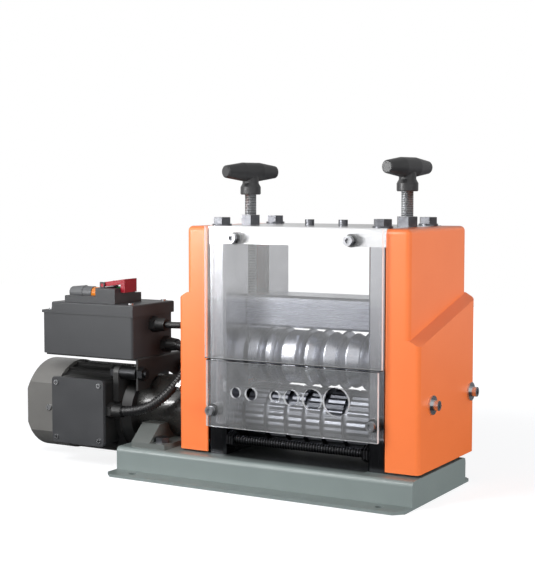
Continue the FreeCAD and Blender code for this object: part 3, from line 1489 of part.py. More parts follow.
# The plug lies on the coil, along the turn that rises into its sleeve
def makePlug(floor):
    left = coilX + plugLength / 4
    y = coilY + coilMiddle - cordRadius * 2
    z = floor + plugThick / 2
    body = slab("PlugBody", "z", [
        (left, y - plugWidth / 2 + 5), (left + plugLength * 0.3, y - plugWidth / 2),
        (left + plugLength, y - plugWidth / 2), (left + plugLength, y + plugWidth / 2),
        (left + plugLength * 0.3, y + plugWidth / 2), (left, y + plugWidth / 2 - 5),
    ], (floor, floor + plugThick))
    dress(body, "Fillet", "PlugCorners", plugRound, lambda edge: runsAlong(edge, 2))
    sleeve = cone("PlugSleeve", "x", (left - plugSleeve, left + 1), (y, z), cordRadius + 1,
                  cordRadius * 1.9)
    end = left + plugLength
    pins = []
    for index, side in enumerate((-1, 1)):
        place = y + pinSpacing / 2 * side
        pins.append(block(f"PlugBlade{index}", (end - 1, end + pinLength),
                          (place - pinThick / 2, place + pinThick / 2), (z - 3, z + 3)))
    pins.append(rod("PlugEarth", "x", (end - 1, end + pinLength + 3), (y, z + 6), earthRadius))
    plug = fused("PlugWhole", [body, sleeve] + pins)
    keep("mains_plug", cut("Plug", plug, [
        rod("PlugBore", "x", (left - plugSleeve - 1, left - 2), (y, z), cordRadius + seatFit),
    ]))


makeBaseTray()
makeSidePlate("left_side_plate", "LeftPlate", leftPlate, -1)
makeSidePlate("right_side_plate", "RightPlate", rightPlate, 1)
makeTopPlate()
makeTieRod()
makeCover("left_cover", "LeftCover", -1)
makeCover("right_cover", "RightCover", 1)
makeCoverFixings()
makeGuards()
makeFeedRoller()
makeBladeRoller()
makeCarriage()
keep("clamp_nuts", group("ClampNuts", [makeClamp(-1), makeClamp(1)]))
makeMotor()
makeGearhead()
makeFoot()
makeTerminalBox()
makeBracket()
makeSwitchBox()
makeSwitchParts()
makeCords()

doc.recompute()
for item in doc.Objects:
    if "Invalid" in item.State or "Error" in item.State:
        raise RuntimeError(f"{item.Name} failed: {item.State}")
for item in nodes:
    shape = item.Shape
    if shape.isNull() or not shape.isValid():
        raise RuntimeError(f"{item.Label} has no valid shape")
    shape.exportStep(f"parts/{item.Label}.step")
    print(f"{item.Label}: {len(shape.Solids)} solids, {shape.Volume:.0f} mm3")
print(f"{len(nodes)} nodes")
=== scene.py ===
import bmesh
import bpy
import math
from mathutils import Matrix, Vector


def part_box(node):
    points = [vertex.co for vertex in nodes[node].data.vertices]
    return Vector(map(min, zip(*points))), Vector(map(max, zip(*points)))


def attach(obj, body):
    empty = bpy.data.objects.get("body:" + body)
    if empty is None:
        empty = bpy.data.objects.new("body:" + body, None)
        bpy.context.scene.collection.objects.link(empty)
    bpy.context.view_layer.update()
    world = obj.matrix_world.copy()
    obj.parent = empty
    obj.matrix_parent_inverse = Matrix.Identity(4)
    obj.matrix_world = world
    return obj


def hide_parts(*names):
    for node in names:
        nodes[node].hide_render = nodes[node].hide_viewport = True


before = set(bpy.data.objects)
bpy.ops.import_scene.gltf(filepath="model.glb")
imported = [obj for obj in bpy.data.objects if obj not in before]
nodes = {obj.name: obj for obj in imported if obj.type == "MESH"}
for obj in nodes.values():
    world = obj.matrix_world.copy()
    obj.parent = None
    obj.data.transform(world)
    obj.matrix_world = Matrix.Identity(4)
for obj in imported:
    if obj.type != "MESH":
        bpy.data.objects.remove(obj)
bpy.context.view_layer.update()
scene = bpy.context.scene
scene.view_settings.view_transform = "Standard"
mm = 0.001
# A noise node's values mostly lie between these, and plastics bend light by this much
noiseLow, noiseHigh = 0.3, 0.7
plasticIndex = 1.49


def hexToLinear(code):
    channels = []
    for start in (1, 3, 5):
        value = int(code[start:start + 2], 16) / 255
        channels.append(value / 12.92 if value <= 0.04045 else ((value + 0.055) / 1.055) ** 2.4)
    return (*channels, 1.0)


# Adds one node with its settings and its links; a setting may be an input or a property
def addNode(tree, kind, settings=None, links=None):
    node = tree.nodes.new(kind)
    for name, value in (settings or {}).items():
        if isinstance(name, int) or name in node.inputs:
            node.inputs[name].default_value = value
        else:
            setattr(node, name, value)
    for name, source in (links or {}).items():
        tree.links.new(source, node.inputs[name])
    return node


def newMaterial(name):
    material = bpy.data.materials.new(name)
    material.use_nodes = True
    material.node_tree.nodes.clear()
    return material, material.node_tree


def finishMaterial(tree, shader):
    addNode(tree, "ShaderNodeOutputMaterial", {}, {"Surface": shader.outputs[0]})


print("camera")
cameraView = {"place": (0.65093, -1.16555, 0.29749), "downDegrees": 4.15, "turnDegrees": 30.08,
              "focalLength": 82.04}


def makeCamera(view):
    data = bpy.data.cameras.new("benchCamera")
    data.lens = view["focalLength"]
    data.sensor_width = 36
    data.clip_end = 50
    camera = bpy.data.objects.new("benchCamera", data)
    camera.location = view["place"]
    camera.rotation_euler = (math.radians(90 - view["downDegrees"]), 0,
                             math.radians(view["turnDegrees"]))
    scene.collection.objects.link(camera)
    scene.camera = camera


makeCamera(cameraView)


# Rubber sheath of an electric cable: extruded, so smooth with a very faint mottle and a soft sheen
def cableSheath(look):
    material, tree = newMaterial(look["name"])
    where = addNode(tree, "ShaderNodeTexCoord")
    mottle = addNode(tree, "ShaderNodeTexNoise", {"Scale": 1 / (look["mottle"] * mm), "Detail": 3.0},
                     {"Vector": where.outputs["Object"]})
    tint = addNode(tree, "ShaderNodeMix", {"data_type": "RGBA", 6: hexToLinear(look["dark"]),
                                           7: hexToLinear(look["light"])},
                   {0: mottle.outputs["Fac"]})
    bump = addNode(tree, "ShaderNodeBump", {"Strength": look["bump"], "Distance": 0.2 * mm},
                   {"Height": mottle.outputs["Fac"]})
    shader = addNode(tree, "ShaderNodeBsdfPrincipled", {"Roughness": look["roughness"], "IOR": 1.5},
                     {"Base Color": tint.outputs[2], "Normal": bump.outputs["Normal"]})
    finishMaterial(tree, shader)
    return material


print("cords")
mainsCord = {
    "radius": 3.6, "length": 1.84, "coilX": -34.0, "coilY": 152.0, "coilMiddle": 40.0,
    "steps": 73, "stepDegrees": 30, "crossFrom": 300, "riseFrom": 68, "riseSteps": 4, "clearance": 0.05,
    "route": [(-157.5, -12.5, 153), (-134, -12.5, 153), (-119, -3.8, 153),
              (-109.5, 12.7, 152.5), (-109, 46, 144), (-118, 92, 92), (-86.2, 109.4, 19.8),
              (-81.7, 124.5, 7.5)],
    "plugEnd": [(-77.6, 169.1, 20), (-65.2, 181, 22.6), (-51, 184.8, 24.3), (-46, 184.8, 24.4)],
    "sheath": {"name": "cordSheath", "dark": "#0e0e0f", "light": "#1a1a1b", "roughness": 0.48,
               "mottle": 2.5, "bump": 0.15},
}


# The coil's turns: inward through three lanes of the lower layer, up, outward through three lanes of
# the upper one, then up to the plug. A turn changes its lane or layer in its last part
def coilTurns(cord):
    pitch = cord["radius"] * 2
    stepDegrees = cord["stepDegrees"]
    grow = 1 / math.cos(math.radians(stepDegrees / 2))
    inner = cord["coilMiddle"] - pitch
    points = []
    for step in range(cord["steps"]):
        whole, part = divmod(step * stepDegrees, 360)
        crossing = max(0.0, (part - cord["crossFrom"]) / (360 - cord["crossFrom"]))
        lane = min(2, abs(2.5 - whole) - 0.5) + crossing * (-1 if whole < 2 else 1) * (whole != 2)
        rise = max(0.0, (step - cord["riseFrom"]) / cord["riseSteps"])
        layer = 0.5 + (crossing if whole == 2 else whole > 2) + rise
        radius = (inner + min(2, lane) * pitch) * grow
        angle = math.radians(180 - step * stepDegrees)
        points.append((cord["coilX"] + radius * math.cos(angle),
                       cord["coilY"] + radius * math.sin(angle), layer * pitch + cord["clearance"]))
    return points


def makeCord(name, points, radius, material):
    curve = bpy.data.curves.new(name, "CURVE")
    curve.dimensions = "3D"
    curve.bevel_depth = radius * mm
    curve.bevel_resolution = 5
    curve.resolution_u = 8
    curve.use_fill_caps = True
    spline = curve.splines.new("NURBS")
    spline.points.add(len(points) - 1)
    for point, place in zip(spline.points, points):
        point.co = (place[0] * mm, place[1] * mm, place[2] * mm, 1)
    spline.order_u = 3
    spline.use_endpoint_u = True
    curve.materials.append(material)
    cord = bpy.data.objects.new(name, curve)
    scene.collection.objects.link(cord)
    return cord


def makeMainsCord(cord):
    points = cord["route"] + coilTurns(cord) + cord["plugEnd"]
    piece = makeCord("mainsCordSheath", points, cord["radius"], cableSheath(cord["sheath"]))
    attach(piece, "machine")
    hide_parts("mains_cord", "mains_coil")


makeMainsCord(mainsCord)

# Corrugated conduit: a curve whose radius steps between crest and groove, along a smoothed route
motorConduit = {
    "crest": 5.6, "groove": 4.7, "pitch": 3.2,
    "route": [(-185.9, -54, 62), (-152, -54, 62), (-123, -43, 80), (-114, -8, 113),
              (-131, 9, 129.5), (-157.5, 9, 129.5)],
    "plastic": {"name": "blackConduitPlastic", "dark": "#0f0f10", "light": "#1b1b1c",
                "roughness": 0.36, "mottle": 3.0, "bump": 0.15},
}


# Points a quarter pitch apart on the quadratic curve that touches the middle of each straight run
def smoothRoute(route, spacing, parts=60):
    corners = [Vector(place) for place in route]
    middles = [(first + second) / 2 for first, second in zip(corners, corners[1:])]
    middles[0], middles[-1] = corners[0], corners[-1]
    dense = []
    for start, corner, end in zip(middles, corners[1:], middles[1:]):
        for part in range(parts):
            along = part / parts
            dense.append(start * (1 - along) ** 2 + corner * 2 * along * (1 - along) + end * along ** 2)
    dense.append(middles[-1])
    spaced = [dense[0]]
    walked = 0.0
    for before, after in zip(dense, dense[1:]):
        walked += (after - before).length
        if walked >= spacing:
            spaced.append(after)
            walked -= spacing
    return spaced


def makeConduit(conduit):
    places = smoothRoute(conduit["route"], conduit["pitch"] / 4)
    piece = makeCord("motorConduit", places, conduit["crest"], cableSheath(conduit["plastic"]))
    spline = piece.data.splines[0]
    dip = conduit["groove"] / conduit["crest"]
    for index, point in enumerate(spline.points):
        point.radius = dip if index % 4 > 1 else 1.0
    piece.data.resolution_u = 1
    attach(piece, "machine")
    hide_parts("motor_lead")


makeConduit(motorConduit)

print("materials")


# Painted shade: the tray's top between the side plates, behind the lower guard, is darkened in its colour
# where the head shades it
def shadeUnderHead(tree, look, where, tint):
    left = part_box("left_side_plate")[1].x
    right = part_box("right_side_plate")[0].x
    half, blur = (right - left) / 2, look["underShadeSide"] * mm
    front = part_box("lower_guard")[0].y
    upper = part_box("base_tray")[1].z
    place = addNode(tree, "ShaderNodeSeparateXYZ", {}, {"Vector": where.outputs["Object"]})
    across = addNode(tree, "ShaderNodeMath", {"operation": "SUBTRACT", 1: (left + right) / 2},
                     {0: place.outputs["X"]})
    apart = addNode(tree, "ShaderNodeMath", {"operation": "ABSOLUTE"}, {0: across.outputs[0]})
    inside = addNode(tree, "ShaderNodeMapRange", {"From Min": half + blur, "From Max": half - blur},
                     {"Value": apart.outputs[0]})
    behind = addNode(tree, "ShaderNodeMapRange", {"From Min": front + look["underShadeStart"] * mm,
                                                  "From Max": front + look["underShadeFull"] * mm},
                     {"Value": place.outputs["Y"]})
    onTop = addNode(tree, "ShaderNodeMapRange", {"From Min": upper - look["underShadeBelow"] * mm,
                                                 "From Max": upper - look["underShadeAbove"] * mm},
                    {"Value": place.outputs["Z"]})
    between = addNode(tree, "ShaderNodeMath", {"operation": "MULTIPLY"},
                      {0: inside.outputs["Result"], 1: behind.outputs["Result"]})
    shadeMask = addNode(tree, "ShaderNodeMath", {"operation": "MULTIPLY"},
                    {0: between.outputs[0], 1: onTop.outputs["Result"]})
    return addNode(tree, "ShaderNodeMix", {"data_type": "RGBA", 7: hexToLinear(look["underShade"])},
                   {0: shadeMask.outputs[0], 6: tint.outputs[2]})


# Radial air slots in the end of the fan cover, drawn as near-black openings of painted shade on the face
# that looks along -X
def airSlots(tree, look, where, tint):
    low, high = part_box("fan_cover")
    facing = addNode(tree, "ShaderNodeSeparateXYZ", {}, {"Vector": where.outputs["Normal"]})
    end = addNode(tree, "ShaderNodeMath", {"operation": "LESS_THAN", 1: -0.9},
                  {0: facing.outputs["X"]})
    centred = addNode(tree, "ShaderNodeVectorMath",
                      {"operation": "SUBTRACT",
                       1: (0, (low.y + high.y) / 2, (low.z + high.z) / 2)},
                      {0: where.outputs["Object"]})
    flat = addNode(tree, "ShaderNodeVectorMath", {"operation": "MULTIPLY", 1: (0, 1, 1)},
                   {0: centred.outputs["Vector"]})
    radius = addNode(tree, "ShaderNodeVectorMath", {"operation": "LENGTH"},
                     {0: flat.outputs["Vector"]})
    place = addNode(tree, "ShaderNodeSeparateXYZ", {}, {"Vector": flat.outputs["Vector"]})
    angle = addNode(tree, "ShaderNodeMath", {"operation": "ARCTAN2"},
                    {0: place.outputs["Z"], 1: place.outputs["Y"]})
    turn = addNode(tree, "ShaderNodeMath", {"operation": "MULTIPLY", 1: look["slots"] / math.tau},
                   {0: angle.outputs[0]})
    share = addNode(tree, "ShaderNodeMath", {"operation": "FRACT"}, {0: turn.outputs[0]})
    gap = addNode(tree, "ShaderNodeMath", {"operation": "LESS_THAN", 1: look["slotShare"]},
                  {0: share.outputs[0]})
    ring = addNode(tree, "ShaderNodeMath", {"operation": "COMPARE", 1: look["slotMiddle"] * mm,
                                            2: look["slotReach"] * mm},
                   {0: radius.outputs["Value"]})
    both = addNode(tree, "ShaderNodeMath", {"operation": "MULTIPLY"},
                   {0: gap.outputs[0], 1: ring.outputs[0]})
    shown = addNode(tree, "ShaderNodeMath", {"operation": "MULTIPLY"},
                    {0: both.outputs[0], 1: end.outputs[0]})
    return addNode(tree, "ShaderNodeMix", {"data_type": "RGBA", 7: hexToLinear(look["opening"])},
                   {0: shown.outputs[0], 6: tint.outputs[2]})


# Powder coat: baked polyester powder, which flows out to a fine orange peel under a soft gloss
def powderCoat(look):
    material, tree = newMaterial(look["name"])
    where = addNode(tree, "ShaderNodeTexCoord")
    peel = addNode(tree, "ShaderNodeTexNoise", {"Scale": 1 / (look["peel"] * mm), "Detail": 2.0},
                   {"Vector": where.outputs["Object"]})
    cloud = addNode(tree, "ShaderNodeTexNoise", {"Scale": 1 / (look["cloud"] * mm), "Detail": 3.0},
                    {"Vector": where.outputs["Object"]})
    tint = addNode(tree, "ShaderNodeMix", {"data_type": "RGBA", 6: hexToLinear(look["dark"]),
                                           7: hexToLinear(look["light"])},
                   {0: cloud.outputs["Fac"]})
    # painted shade on the tray under the head
    if "underShade" in look:
        tint = shadeUnderHead(tree, look, where, tint)
    if "slots" in look:
        tint = airSlots(tree, look, where, tint)
    gloss = addNode(tree, "ShaderNodeMapRange", {"From Min": noiseLow, "From Max": noiseHigh,
                                                 "To Min": look["roughness"] - 0.04,
                                                 "To Max": look["roughness"] + 0.05},
                    {"Value": peel.outputs["Fac"]})
    bump = addNode(tree, "ShaderNodeBump", {"Strength": look["bump"], "Distance": 0.15 * mm},
                   {"Height": peel.outputs["Fac"]})
    shader = addNode(tree, "ShaderNodeBsdfPrincipled",
                     {"IOR": 1.5, "Coat Weight": look["coat"], "Coat Roughness": 0.18},
                     {"Base Color": tint.outputs[2], "Roughness": gloss.outputs["Result"],
                      "Normal": bump.outputs["Normal"]})
    finishMaterial(tree, shader)
    return material


# Ground or brushed steel: long fine scratches along one axis, which stretch the highlights; below the lower
# guard the side plates' feet are painted darker, as painted shade
def brushedSteel(look):
    material, tree = newMaterial(look["name"])
    where = addNode(tree, "ShaderNodeTexCoord")
    scale = [1 / (look["grit"] * mm)] * 3
    scale["xyz".index(look["along"])] = 1 / (look["scratch"] * mm)
    stretch = addNode(tree, "ShaderNodeMapping", {"Scale": scale}, {"Vector": where.outputs["Object"]})
    grain = addNode(tree, "ShaderNodeTexNoise", {"Scale": 1.0, "Detail": 4.0},
                    {"Vector": stretch.outputs["Vector"]})
    cloud = addNode(tree, "ShaderNodeTexNoise", {"Scale": 1 / (look["cloud"] * mm), "Detail": 2.0},
                    {"Vector": where.outputs["Object"]})
    tint = addNode(tree, "ShaderNodeMix", {"data_type": "RGBA", 6: hexToLinear(look["dark"]),
                                           7: hexToLinear(look["light"])},
                   {0: cloud.outputs["Fac"]})
    # painted shade: the colour darkens below the lower guard's bottom edge
    if "foot" in look:
        height = addNode(tree, "ShaderNodeSeparateXYZ", {}, {"Vector": where.outputs["Object"]})
        blur = look["footShadeBlur"] * mm
        above = addNode(tree, "ShaderNodeMapRange", {"From Min": look["footTop"] - blur,
                                                     "From Max": look["footTop"] + blur},
                        {"Value": height.outputs["Z"]})
        tint = addNode(tree, "ShaderNodeMix", {"data_type": "RGBA", 6: hexToLinear(look["foot"])},
                       {0: above.outputs["Result"], 7: tint.outputs[2]})
    gloss = addNode(tree, "ShaderNodeMapRange", {"From Min": noiseLow, "From Max": noiseHigh,
                                                 "To Min": look["roughness"] - 0.06,
                                                 "To Max": look["roughness"] + 0.08},
                    {"Value": grain.outputs["Fac"]})
    bump = addNode(tree, "ShaderNodeBump", {"Strength": look["bump"], "Distance": 0.1 * mm},
                   {"Height": grain.outputs["Fac"]})
    shader = addNode(tree, "ShaderNodeBsdfPrincipled", {"Metallic": look["metal"]},
                     {"Base Color": tint.outputs[2], "Roughness": gloss.outputs["Result"],
                      "Normal": bump.outputs["Normal"]})
    finishMaterial(tree, shader)
    return material


# Moulded plastic: a fine sparked grain from the mould, and a slightly uneven gloss
def mouldedPlastic(look):
    material, tree = newMaterial(look["name"])
    where = addNode(tree, "ShaderNodeTexCoord")
    grain = addNode(tree, "ShaderNodeTexNoise", {"Scale": 1 / (look["grain"] * mm), "Detail": 2.0},
                    {"Vector": where.outputs["Object"]})
    cloud = addNode(tree, "ShaderNodeTexNoise", {"Scale": 1 / (look["cloud"] * mm), "Detail": 2.0},
                    {"Vector": where.outputs["Object"]})
    tint = addNode(tree, "ShaderNodeMix", {"data_type": "RGBA", 6: hexToLinear(look["dark"]),
                                           7: hexToLinear(look["light"])},
                   {0: cloud.outputs["Fac"]})
    gloss = addNode(tree, "ShaderNodeMapRange", {"From Min": noiseLow, "From Max": noiseHigh,
                                                 "To Min": look["roughness"] - 0.05,
                                                 "To Max": look["roughness"] + 0.05},
                    {"Value": cloud.outputs["Fac"]})
    bump = addNode(tree, "ShaderNodeBump", {"Strength": look["bump"], "Distance": 0.2 * mm},
                   {"Height": grain.outputs["Fac"]})
    shader = addNode(tree, "ShaderNodeBsdfPrincipled", {"IOR": plasticIndex},
                     {"Base Color": tint.outputs[2], "Roughness": gloss.outputs["Result"],
                      "Normal": bump.outputs["Normal"]})
    finishMaterial(tree, shader)
    return material


# Cast acrylic sheet: clear, with a faint haze of wiping marks, pale sawn edges that catch light, and a band
# of painted shade where the two guards meet
def clearAcrylic(look):
    material, tree = newMaterial(look["name"])
    where = addNode(tree, "ShaderNodeTexCoord")
    haze = addNode(tree, "ShaderNodeTexNoise", {"Scale": 1 / (look["haze"] * mm), "Detail": 4.0},
                   {"Vector": where.outputs["Object"]})
    veil = addNode(tree, "ShaderNodeMapRange", {"From Min": noiseLow, "From Max": noiseHigh,
                                                "To Min": look["veil"] - look["veilSpread"],
                                                "To Max": look["veil"] + look["veilSpread"]},
                   {"Value": haze.outputs["Fac"]})
    facing = addNode(tree, "ShaderNodeSeparateXYZ", {}, {"Vector": where.outputs["Normal"]})
    flat = addNode(tree, "ShaderNodeMath", {"operation": "ABSOLUTE"}, {0: facing.outputs["Y"]})
    cover = addNode(tree, "ShaderNodeMapRange", {"From Min": look["edgeFull"],
                                                 "From Max": look["edgeEnd"],
                                                 "To Min": look["edge"]},
                    {"Value": flat.outputs[0], "To Max": veil.outputs["Result"]})
    # Painted shade: near the height where the guards meet, the sheet turns opaque and near black
    height = addNode(tree, "ShaderNodeSeparateXYZ", {}, {"Vector": where.outputs["Object"]})
    apart = addNode(tree, "ShaderNodeMath", {"operation": "SUBTRACT", 1: look["split"]},
                    {0: height.outputs["Z"]})
    near = addNode(tree, "ShaderNodeMath", {"operation": "ABSOLUTE"}, {0: apart.outputs[0]})
    shadeBand = addNode(tree, "ShaderNodeMapRange", {"From Min": look["shadeBand"] * mm,
                                                "From Max": look["shadeBandFade"] * mm,
                                                "To Min": 1.0, "To Max": 0.0},
                   {"Value": near.outputs[0]})
    whole = addNode(tree, "ShaderNodeMath", {"operation": "MAXIMUM"},
                    {0: cover.outputs["Result"], 1: shadeBand.outputs["Result"]})
    tint = addNode(tree, "ShaderNodeMix", {"data_type": "RGBA", 6: hexToLinear(look["colour"]),
                                           7: hexToLinear(look["gap"])},
                   {0: shadeBand.outputs["Result"]})
    saw = addNode(tree, "ShaderNodeBump", {"Strength": look["bump"], "Distance": 0.1 * mm},
                  {"Height": haze.outputs["Fac"]})
    shader = addNode(tree, "ShaderNodeBsdfPrincipled", {"Roughness": 0.3, "IOR": plasticIndex},
                     {"Base Color": tint.outputs[2], "Alpha": whole.outputs[0],
                      "Normal": saw.outputs["Normal"]})
    gloss = addNode(tree, "ShaderNodeBsdfGlossy", {"Color": (1, 1, 1, 1), "Roughness": 0.03})
    side = addNode(tree, "ShaderNodeNewGeometry")
    index = addNode(tree, "ShaderNodeMapRange", {"To Min": plasticIndex, "To Max": 1 / plasticIndex},
                    {"Value": side.outputs["Backfacing"]})
    edge = addNode(tree, "ShaderNodeFresnel", {}, {"IOR": index.outputs["Result"]})
    mix = addNode(tree, "ShaderNodeMixShader", {}, {0: edge.outputs["Fac"], 1: shader.outputs[0],
                                                    2: gloss.outputs[0]})
    finishMaterial(tree, mix)
    return material


# Threaded steel rod: rolled thread, drawn as rings a real pitch apart, dark in the roots and light on the
# crests as painted shade and painted glints. A wave node repeats 20 / (2 pi) times in each unit of length
def threadedSteel(look):
    material, tree = newMaterial(look["name"])
    where = addNode(tree, "ShaderNodeTexCoord")
    thread = addNode(tree, "ShaderNodeTexWave",
                     {"wave_type": "BANDS", "bands_direction": look["along"].upper(),
                      "Scale": 2 * math.pi / (20 * look["pitch"] * mm), "Distortion": 0.0},
                     {"Vector": where.outputs["Object"]})
    # the rings' dark and light are painted shade in the roots and painted glints on the crests
    tint = addNode(tree, "ShaderNodeMix", {"data_type": "RGBA", 6: hexToLinear(look["dark"]),
                                           7: hexToLinear(look["light"])},
                   {0: thread.outputs["Fac"]})
    bump = addNode(tree, "ShaderNodeBump", {"Strength": 1.0, "Distance": look["pitch"] * mm * 0.5},
                   {"Height": thread.outputs["Fac"]})
    shader = addNode(tree, "ShaderNodeBsdfPrincipled",
                     {"Metallic": 1.0, "Roughness": look["roughness"]},
                     {"Base Color": tint.outputs[2], "Normal": bump.outputs["Normal"]})
    finishMaterial(tree, shader)
    return material


finishes = {
    "orange": (powderCoat, {"name": "orangePowderCoat", "dark": "#e17038", "light": "#e97a42",
                            "roughness": 0.38, "peel": 1.3, "cloud": 60, "bump": 0.25, "coat": 0.25}),
    "grey": (powderCoat, {"name": "greyPowderCoat", "dark": "#6f7877", "light": "#7a8482",
                          "roughness": 0.42, "peel": 1.2, "cloud": 50, "bump": 0.3, "coat": 0.15,
                          # painted shade: the tray's colour darkens under the head, within the bounds below
                          "underShade": "#151717", "underShadeSide": 1, "underShadeStart": 2, "underShadeFull": 12,
                          "underShadeBelow": 1.5, "underShadeAbove": 0.5}),
    "blackPaint": (powderCoat, {"name": "blackMachinePaint", "dark": "#1c1c1c", "light": "#262626",
                                "roughness": 0.42, "peel": 1.6, "cloud": 30, "bump": 0.4, "coat": 0.1}),
    "castPaint": (powderCoat, {"name": "glossBlackMachinePaint", "dark": "#232322", "light": "#2f2f2d",
                               "roughness": 0.3, "peel": 2.2, "cloud": 30, "bump": 0.5, "coat": 0.6}),
    "fanGrey": (powderCoat, {"name": "greyMachinePaint", "dark": "#5c5b59", "light": "#6b6a67",
                             "roughness": 0.4, "peel": 1.4, "cloud": 30, "bump": 0.3, "coat": 0.15,
                             "slots": 28, "slotMiddle": 25, "slotReach": 12, "slotShare": 0.42,
                             # near black: painted shade inside the air slots
                             "opening": "#0b0b0b"}),
    "plateSteel": (brushedSteel, {"name": "groundPlateSteel", "dark": "#a6a7ac", "light": "#b9babe",
                                  "roughness": 0.2, "grit": 0.35, "scratch": 25, "along": "z",
                                  # painted shade on the plates' feet below the lower guard
                                  "cloud": 40, "bump": 0.05, "metal": 1.0, "foot": "#4a4b4e",
                                  "footTop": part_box("lower_guard")[0].z, "footShadeBlur": 2}),
    "beamSteel": (brushedSteel, {"name": "groundBeamSteel", "dark": "#9da0aa", "light": "#afb2bc",
                                 "roughness": 0.24, "grit": 0.35, "scratch": 25, "along": "x",
                                 "cloud": 40, "bump": 0.06, "metal": 1.0}),
    "topSteel": (brushedSteel, {"name": "groundTopSteel", "dark": "#e2e3e5", "light": "#f1f1f2",
                                "roughness": 0.22, "grit": 0.35, "scratch": 25, "along": "x",
                                "cloud": 40, "bump": 0.06, "metal": 1.0}),
    "zinc": (brushedSteel, {"name": "brightZincPlate", "dark": "#c9cbce", "light": "#e2e3e4",
                            "roughness": 0.26, "grit": 0.4, "scratch": 2, "along": "x", "cloud": 4,
                            "bump": 0.1, "metal": 1.0}),
    "turned": (brushedSteel, {"name": "turnedRollerSteel", "dark": "#b0b2ba", "light": "#cbcdd4",
                              "roughness": 0.27, "grit": 0.5, "scratch": 0.25, "along": "x",
                              "cloud": 20, "bump": 0.06, "metal": 1.0}),
    "feedSteel": (brushedSteel, {"name": "hardenedFeedSteel", "dark": "#5c5e64", "light": "#75777d",
                                 "roughness": 0.3, "grit": 0.5, "scratch": 0.25, "along": "x",
                                 "cloud": 20, "bump": 0.08, "metal": 1.0}),
    "darkSteel": (brushedSteel, {"name": "oiledSteel", "dark": "#2c2c2e", "light": "#3d3e40",
                                 "roughness": 0.4, "grit": 0.4, "scratch": 4, "along": "x",
                                 "cloud": 8, "bump": 0.15, "metal": 0.9}),
    "rodThread": (threadedSteel, {"name": "darkRolledThread", "dark": "#1f1f20", "light": "#56575a",
                                  "pitch": 3.0, "along": "x", "roughness": 0.35}),
    "clampThread": (threadedSteel, {"name": "brightRolledThread", "dark": "#8b8d90",
                                    "light": "#d4d6d8", "pitch": 1.75, "along": "z",
                                    "roughness": 0.28}),
    "handle": (mouldedPlastic, {"name": "blackPhenolic", "dark": "#242425", "light": "#313132",
                                "roughness": 0.36, "grain": 0.5, "cloud": 15, "bump": 0.12}),
    "footPaint": (powderCoat, {"name": "darkGreyMachinePaint", "dark": "#4f5351", "light": "#5c605e",
                               "roughness": 0.45, "peel": 1.8, "cloud": 25, "bump": 0.4, "coat": 0.1}),
    "boltSteel": (brushedSteel, {"name": "greyZincPlate", "dark": "#45464a", "light": "#7a7b7f",
                                 "roughness": 0.34, "grit": 0.6, "scratch": 3, "along": "z",
                                 "cloud": 6, "bump": 0.1, "metal": 1.0}),
    "screwSteel": (brushedSteel, {"name": "dullZincPlate", "dark": "#96979b", "light": "#bdbec1",
                                  "roughness": 0.33, "grit": 0.5, "scratch": 2, "along": "x",
                                  "cloud": 4, "bump": 0.1, "metal": 1.0}),
    "blackPlastic": (mouldedPlastic, {"name": "blackNylon", "dark": "#121212", "light": "#1a1a1a",
                                      "roughness": 0.45, "grain": 0.5, "cloud": 15, "bump": 0.15}),
    "boxPlastic": (mouldedPlastic, {"name": "greyAbs", "dark": "#2b2c2e", "light": "#353638",
                                    "roughness": 0.46, "grain": 0.6, "cloud": 25, "bump": 0.2}),
    "knobPlastic": (mouldedPlastic, {"name": "paleGreyAbs", "dark": "#4c4d4f", "light": "#5b5c5e",
                                     "roughness": 0.4, "grain": 0.5, "cloud": 12, "bump": 0.12}),
    "redPlastic": (mouldedPlastic, {"name": "redPolycarbonate", "dark": "#7a0c1a",
                                    "light": "#960f22", "roughness": 0.4, "grain": 0.6,
                                    "cloud": 14, "bump": 0.05}),
    "greenPlastic": (mouldedPlastic, {"name": "greenPolycarbonate", "dark": "#0d6b2c",
                                      "light": "#138038", "roughness": 0.3, "grain": 0.6,
                                      "cloud": 14, "bump": 0.05}),
    "amberPlastic": (mouldedPlastic, {"name": "amberPolycarbonate", "dark": "#b8641a",
                                      "light": "#d07c22", "roughness": 0.22, "grain": 0.6,
                                      "cloud": 10, "bump": 0.04}),
    "acrylic": (clearAcrylic, {"name": "clearAcrylicSheet", "colour": "#f4f6f8", "haze": 25,
                               "bump": 0.1, "veil": 0.06, "veilSpread": 0.018, "edge": 0.7,
                               # the gap colour and the band's widths are painted shade where the guards
                               # meet
                               "edgeFull": 0.5, "edgeEnd": 0.8, "gap": "#141415", "shadeBand": 1.0,
                               "shadeBandFade": 1.5,
                               "split": (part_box("upper_guard")[0].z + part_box("lower_guard")[1].z) / 2}),
}
